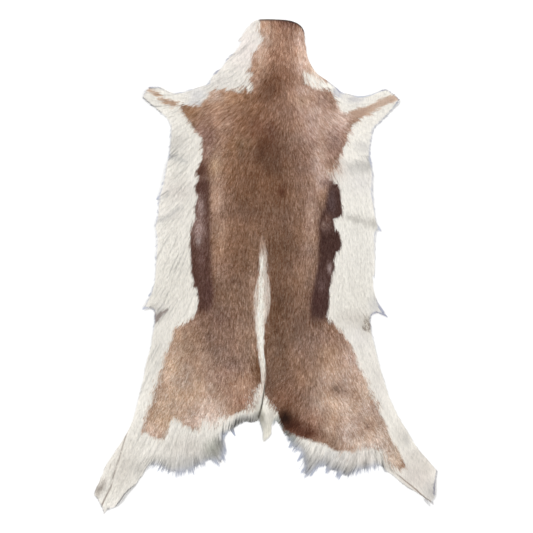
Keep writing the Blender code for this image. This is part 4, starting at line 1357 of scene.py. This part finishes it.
def hair_piece(hair, material, grow):
    """One piece of hair: tapering blades that lie along the coat, each bent and rolled a little."""
    rng = np.random.default_rng(hair.seed)
    in_fan = grow is down_the_fan
    roots = grow(hair, rng)
    x, y, step, length, to_middle, number = roots
    count = len(x)
    side = np.column_stack((-step[:, 1], step[:, 0]))
    sideways = hair.pull * to_middle + length * rng.normal(0, BEND * hair.wander, count)
    colours, whiteness = hair_colours(roots, in_fan, rng)
    across = fan_across(x, y)

    base = lift_at(x, y) + SKIN_THICKNESS
    lock = lock_streaks(*along_hair(x, y, step, length, 0.5))
    rise = rng.uniform(*RISE, count) + CLUMP_RISE * (number - 0.5) + LOCK_RISE * np.clip(lock, -2, 2)
    roll = np.radians(rng.normal(0, hair.roll, count))
    width = hair.width * rng.uniform(0.75, 1.25, count)

    rows = []
    tones = []

    def add(share, tone, offset=0.0):
        """A point of every blade at a share of its length, with its colours."""
        px, py = along_hair(x, y, step, length, share)
        px = px + side[:, 0] * sideways * share ** BEND_POWER
        py = py + side[:, 1] * sideways * share ** BEND_POWER
        if in_fan:
            px += fan_line(across * (1.0 + FAN_SPLAY * share), py) - fan_line(across, y)
        lifted = base + (coat_top(px, py) - base) * rise * (1.0 - (1.0 - share) ** RISE_POWER)
        place = np.column_stack((px, py, lifted)) + offset
        place[:, 2] = np.maximum(place[:, 2], FLOOR_GAP)
        rows.append(place)
        toned = colours * mixed(tone, 1.0, 0.5 * whiteness)[:, None]
        tones.append(with_lines(with_shade(toned, px, py, whiteness), px, py, SHADE_AND_MARK_LINES))

    add(0.0, ROOT_TONE)
    for share, narrowed, tone in zip(hair.stations, (1.0, SECOND_WIDTH), (FIRST_TONE, 1.0)):
        half = 0.5 * width * narrowed
        offset = np.column_stack((side * (half * np.cos(roll))[:, None], half * np.sin(roll)))
        add(share, tone, -offset)
        add(share, tone, offset)
    add(1.0, TIP_TONE)
    faces = blade_faces(count, len(hair.stations))
    return new_piece(hair.name, np.stack(rows, axis=1).reshape(-1, 3), np.zeros(len(faces)), faces,
                     np.stack(tones, axis=1).reshape(-1, 3), [material])


# Materials.

def set_inputs(node, values):
    """A node with its inputs set. Their names have _ for each of their spaces."""
    for name, value in values.items():
        node.inputs[name.replace("_", " ")].default_value = value
    return node


def add_node(tree, kind, **values):
    """A new node with its inputs set."""
    return set_inputs(tree.nodes.new("ShaderNode" + kind), values)


def link(tree, *wires):
    """Joins nodes, each wire given as a node and its output and a node and its input."""
    for source, output, target, entry in wires:
        tree.links.new(source.outputs[output], target.inputs[entry])


def node_material(name, **values):
    """A new material, with its nodes and its Principled shader, whose inputs are set."""
    material = bpy.data.materials.new(name)
    material.use_nodes = True
    tree = material.node_tree
    return material, tree, set_inputs(tree.nodes["Principled BSDF"], values)


def hair_material(name, roughness, specular):
    """Hair: the coat's own colours with a fine unevenness along the hair."""
    material, tree, shader = node_material(name, Roughness=roughness, Specular_IOR_Level=specular)
    coat = add_node(tree, "Attribute")
    coat.attribute_name = "coat"
    place = add_node(tree, "TexCoord")
    stretch = add_node(tree, "Mapping", Scale=(420, 110, 420))
    streaks = add_node(tree, "TexNoise", Scale=1.0, Detail=3.0)
    ramp = add_node(tree, "MapRange", From_Min=0.3, From_Max=0.7, To_Min=0.88, To_Max=1.08)
    mix = add_node(tree, "VectorMath")
    mix.operation = "SCALE"
    link(tree, (place, "Object", stretch, "Vector"), (stretch, "Vector", streaks, "Vector"),
         (streaks, "Fac", ramp, "Value"), (coat, "Color", mix, 0), (ramp, "Result", mix, "Scale"),
         (mix, "Vector", shader, "Base Color"))
    return material


def flesh_material():
    """The flesh side and cut edge: pale suede with faint mottling and a fine nap."""
    material, tree, shader = node_material("flesh_side", Roughness=0.9)
    place = add_node(tree, "TexCoord")
    mottle = add_node(tree, "TexNoise", Scale=14.0, Detail=6.0)
    ramp = add_node(tree, "ValToRGB")
    for stop, position, colour in zip(ramp.color_ramp.elements, (0.35, 0.68), (FLESH_DARK, FLESH_PALE)):
        stop.position = position
        stop.color = (*linear(colour), 1.0)
    nap = add_node(tree, "TexNoise", Scale=900.0)
    bump = add_node(tree, "Bump", Strength=0.4, Distance=0.0004)
    link(tree, (place, "Object", mottle, "Vector"), (place, "Object", nap, "Vector"),
         (mottle, "Fac", ramp, "Fac"), (ramp, "Color", shader, "Base Color"),
         (nap, "Fac", bump, "Height"), (bump, "Normal", shader, "Normal"))
    return material


# The studio, in metres.

FLOOR_HALF = 6.0
FLOOR_DROP = 0.0003  # the floor lies this far under the hide
SUNS = (  # name, from where, how wide in degrees, how strong
    ("key", (-1.5, 1.3, 2.6), 28, 1.85),
    ("fill", (1.8, -0.6, 2.4), 41, 0.88),
)
LENS = 85.0
SENSOR = 36.0
VIEW_WIDTH = 1.131  # of the floor, across the photo
CAMERA_X = 0.0021


def studio():
    """A pale floor, soft lights and the camera straight above, as in the photo."""
    scene = bpy.context.scene
    scene.view_settings.view_transform = "Standard"

    floor_mesh = bpy.data.meshes.new("floor")
    corners = [(FLOOR_HALF * i, FLOOR_HALF * j, -FLOOR_DROP) for i, j in ((-1, -1), (1, -1), (1, 1), (-1, 1))]
    floor_mesh.from_pydata(corners, [], [(0, 1, 2, 3)])
    floor = bpy.data.objects.new("floor", floor_mesh)
    scene.collection.objects.link(floor)
    material, _, _ = node_material("floor_paint", Base_Color=(0.9, 0.9, 0.9, 1.0), Roughness=0.8)
    floor_mesh.materials.append(material)

    world = bpy.data.worlds.new("studio")
    world.use_nodes = True
    sky = world.node_tree
    back = sky.nodes["Background"]
    back.inputs["Color"].default_value = (1.0, 1.0, 1.0, 1.0)
    way = add_node(sky, "TexCoord")
    split = add_node(sky, "SeparateXYZ")
    ramp = add_node(sky, "MapRange", From_Min=0.2, From_Max=0.6, To_Min=1.02, To_Max=0.45)
    link(sky, (way, "Generated", split, "Vector"), (split, "Z", ramp, "Value"),
         (ramp, "Result", back, "Strength"))
    scene.world = world

    for name, place, spread, power in SUNS:
        lamp = bpy.data.lights.new(name, "SUN")
        lamp.angle = math.radians(spread)
        lamp.energy = power
        light = bpy.data.objects.new(name, lamp)
        light.location = place
        light.rotation_euler = (-Vector(place)).to_track_quat("-Z", "Y").to_euler()
        scene.collection.objects.link(light)

    camera_data = bpy.data.cameras.new("camera")
    camera_data.lens = LENS
    camera_data.sensor_width = SENSOR
    camera_data.clip_end = 50.0
    camera = bpy.data.objects.new("camera", camera_data)
    camera.location = (CAMERA_X, 0.0, VIEW_WIDTH * LENS / SENSOR)
    scene.collection.objects.link(camera)
    scene.camera = camera


def build():
    """The skin, the dense hair under the blades, and the blades, all as one sheet that lies on the floor."""
    coat = hair_material("coat_hair", roughness=0.7, specular=0.18)
    pale = hair_material("pale_hair", roughness=0.65, specular=0.25)
    flesh = flesh_material()
    # The skin and the undercoat carry painted shade under the blades: 0.7 and 0.88 of the coat's colours.
    skin = closed_sheet("hide_skin", SKIN_GRID, skin_heights, 0.7, (coat, flesh), FLESH, smooth=False)
    undercoat = closed_sheet("fur_undercoat", UNDERCOAT_GRID, undercoat_heights, 0.88, (coat, coat), WHITE,
                             smooth=True)

    hairs = []
    for i, (name, low, high) in enumerate((
            ("shoulders", 250, 600), ("back", 40, 250), ("loin", -150, 40), ("thighs", -600, -150))):
        hairs.append((Hair(
            f"fur_{name}", spacing=1.01, where=between(is_brown, low, high), length=coat_length, width=0.85,
            stations=(0.42,), clump=4.5, pull=0.25, wander=10, roll=18, seed=11 + i), coat, scattered))
    for i, (name, low, high, clump, wander) in enumerate((
            ("flanks", -110, 600, 8.0, 4), ("legs", -600, -110, 3.4, 6))):
        hairs.append((Hair(
            f"fur_{name}", spacing=1.32, where=between(is_white, low, high), length=fringe_length, width=1.0,
            stations=(0.35, 0.7), clump=clump, pull=0.7, wander=wander, roll=10, seed=31 + i),
            pale, scattered))
    hairs.append((Hair(
        "fur_fan", spacing=1.15, where=is_fan, length=fan_length, width=0.8,
        stations=(0.35, 0.7), clump=3.5, pull=0.2, wander=4, roll=14, seed=51), pale, down_the_fan))
    hairs.append((Hair(
        "fur_wisps", spacing=None, where=None, length=None, width=0.9,
        stations=(0.35, 0.7), clump=None, pull=0.9, wander=4, roll=10, seed=61), pale, in_wisps))
    pieces = [undercoat, *(hair_piece(*row) for row in hairs)]


studio()
build()
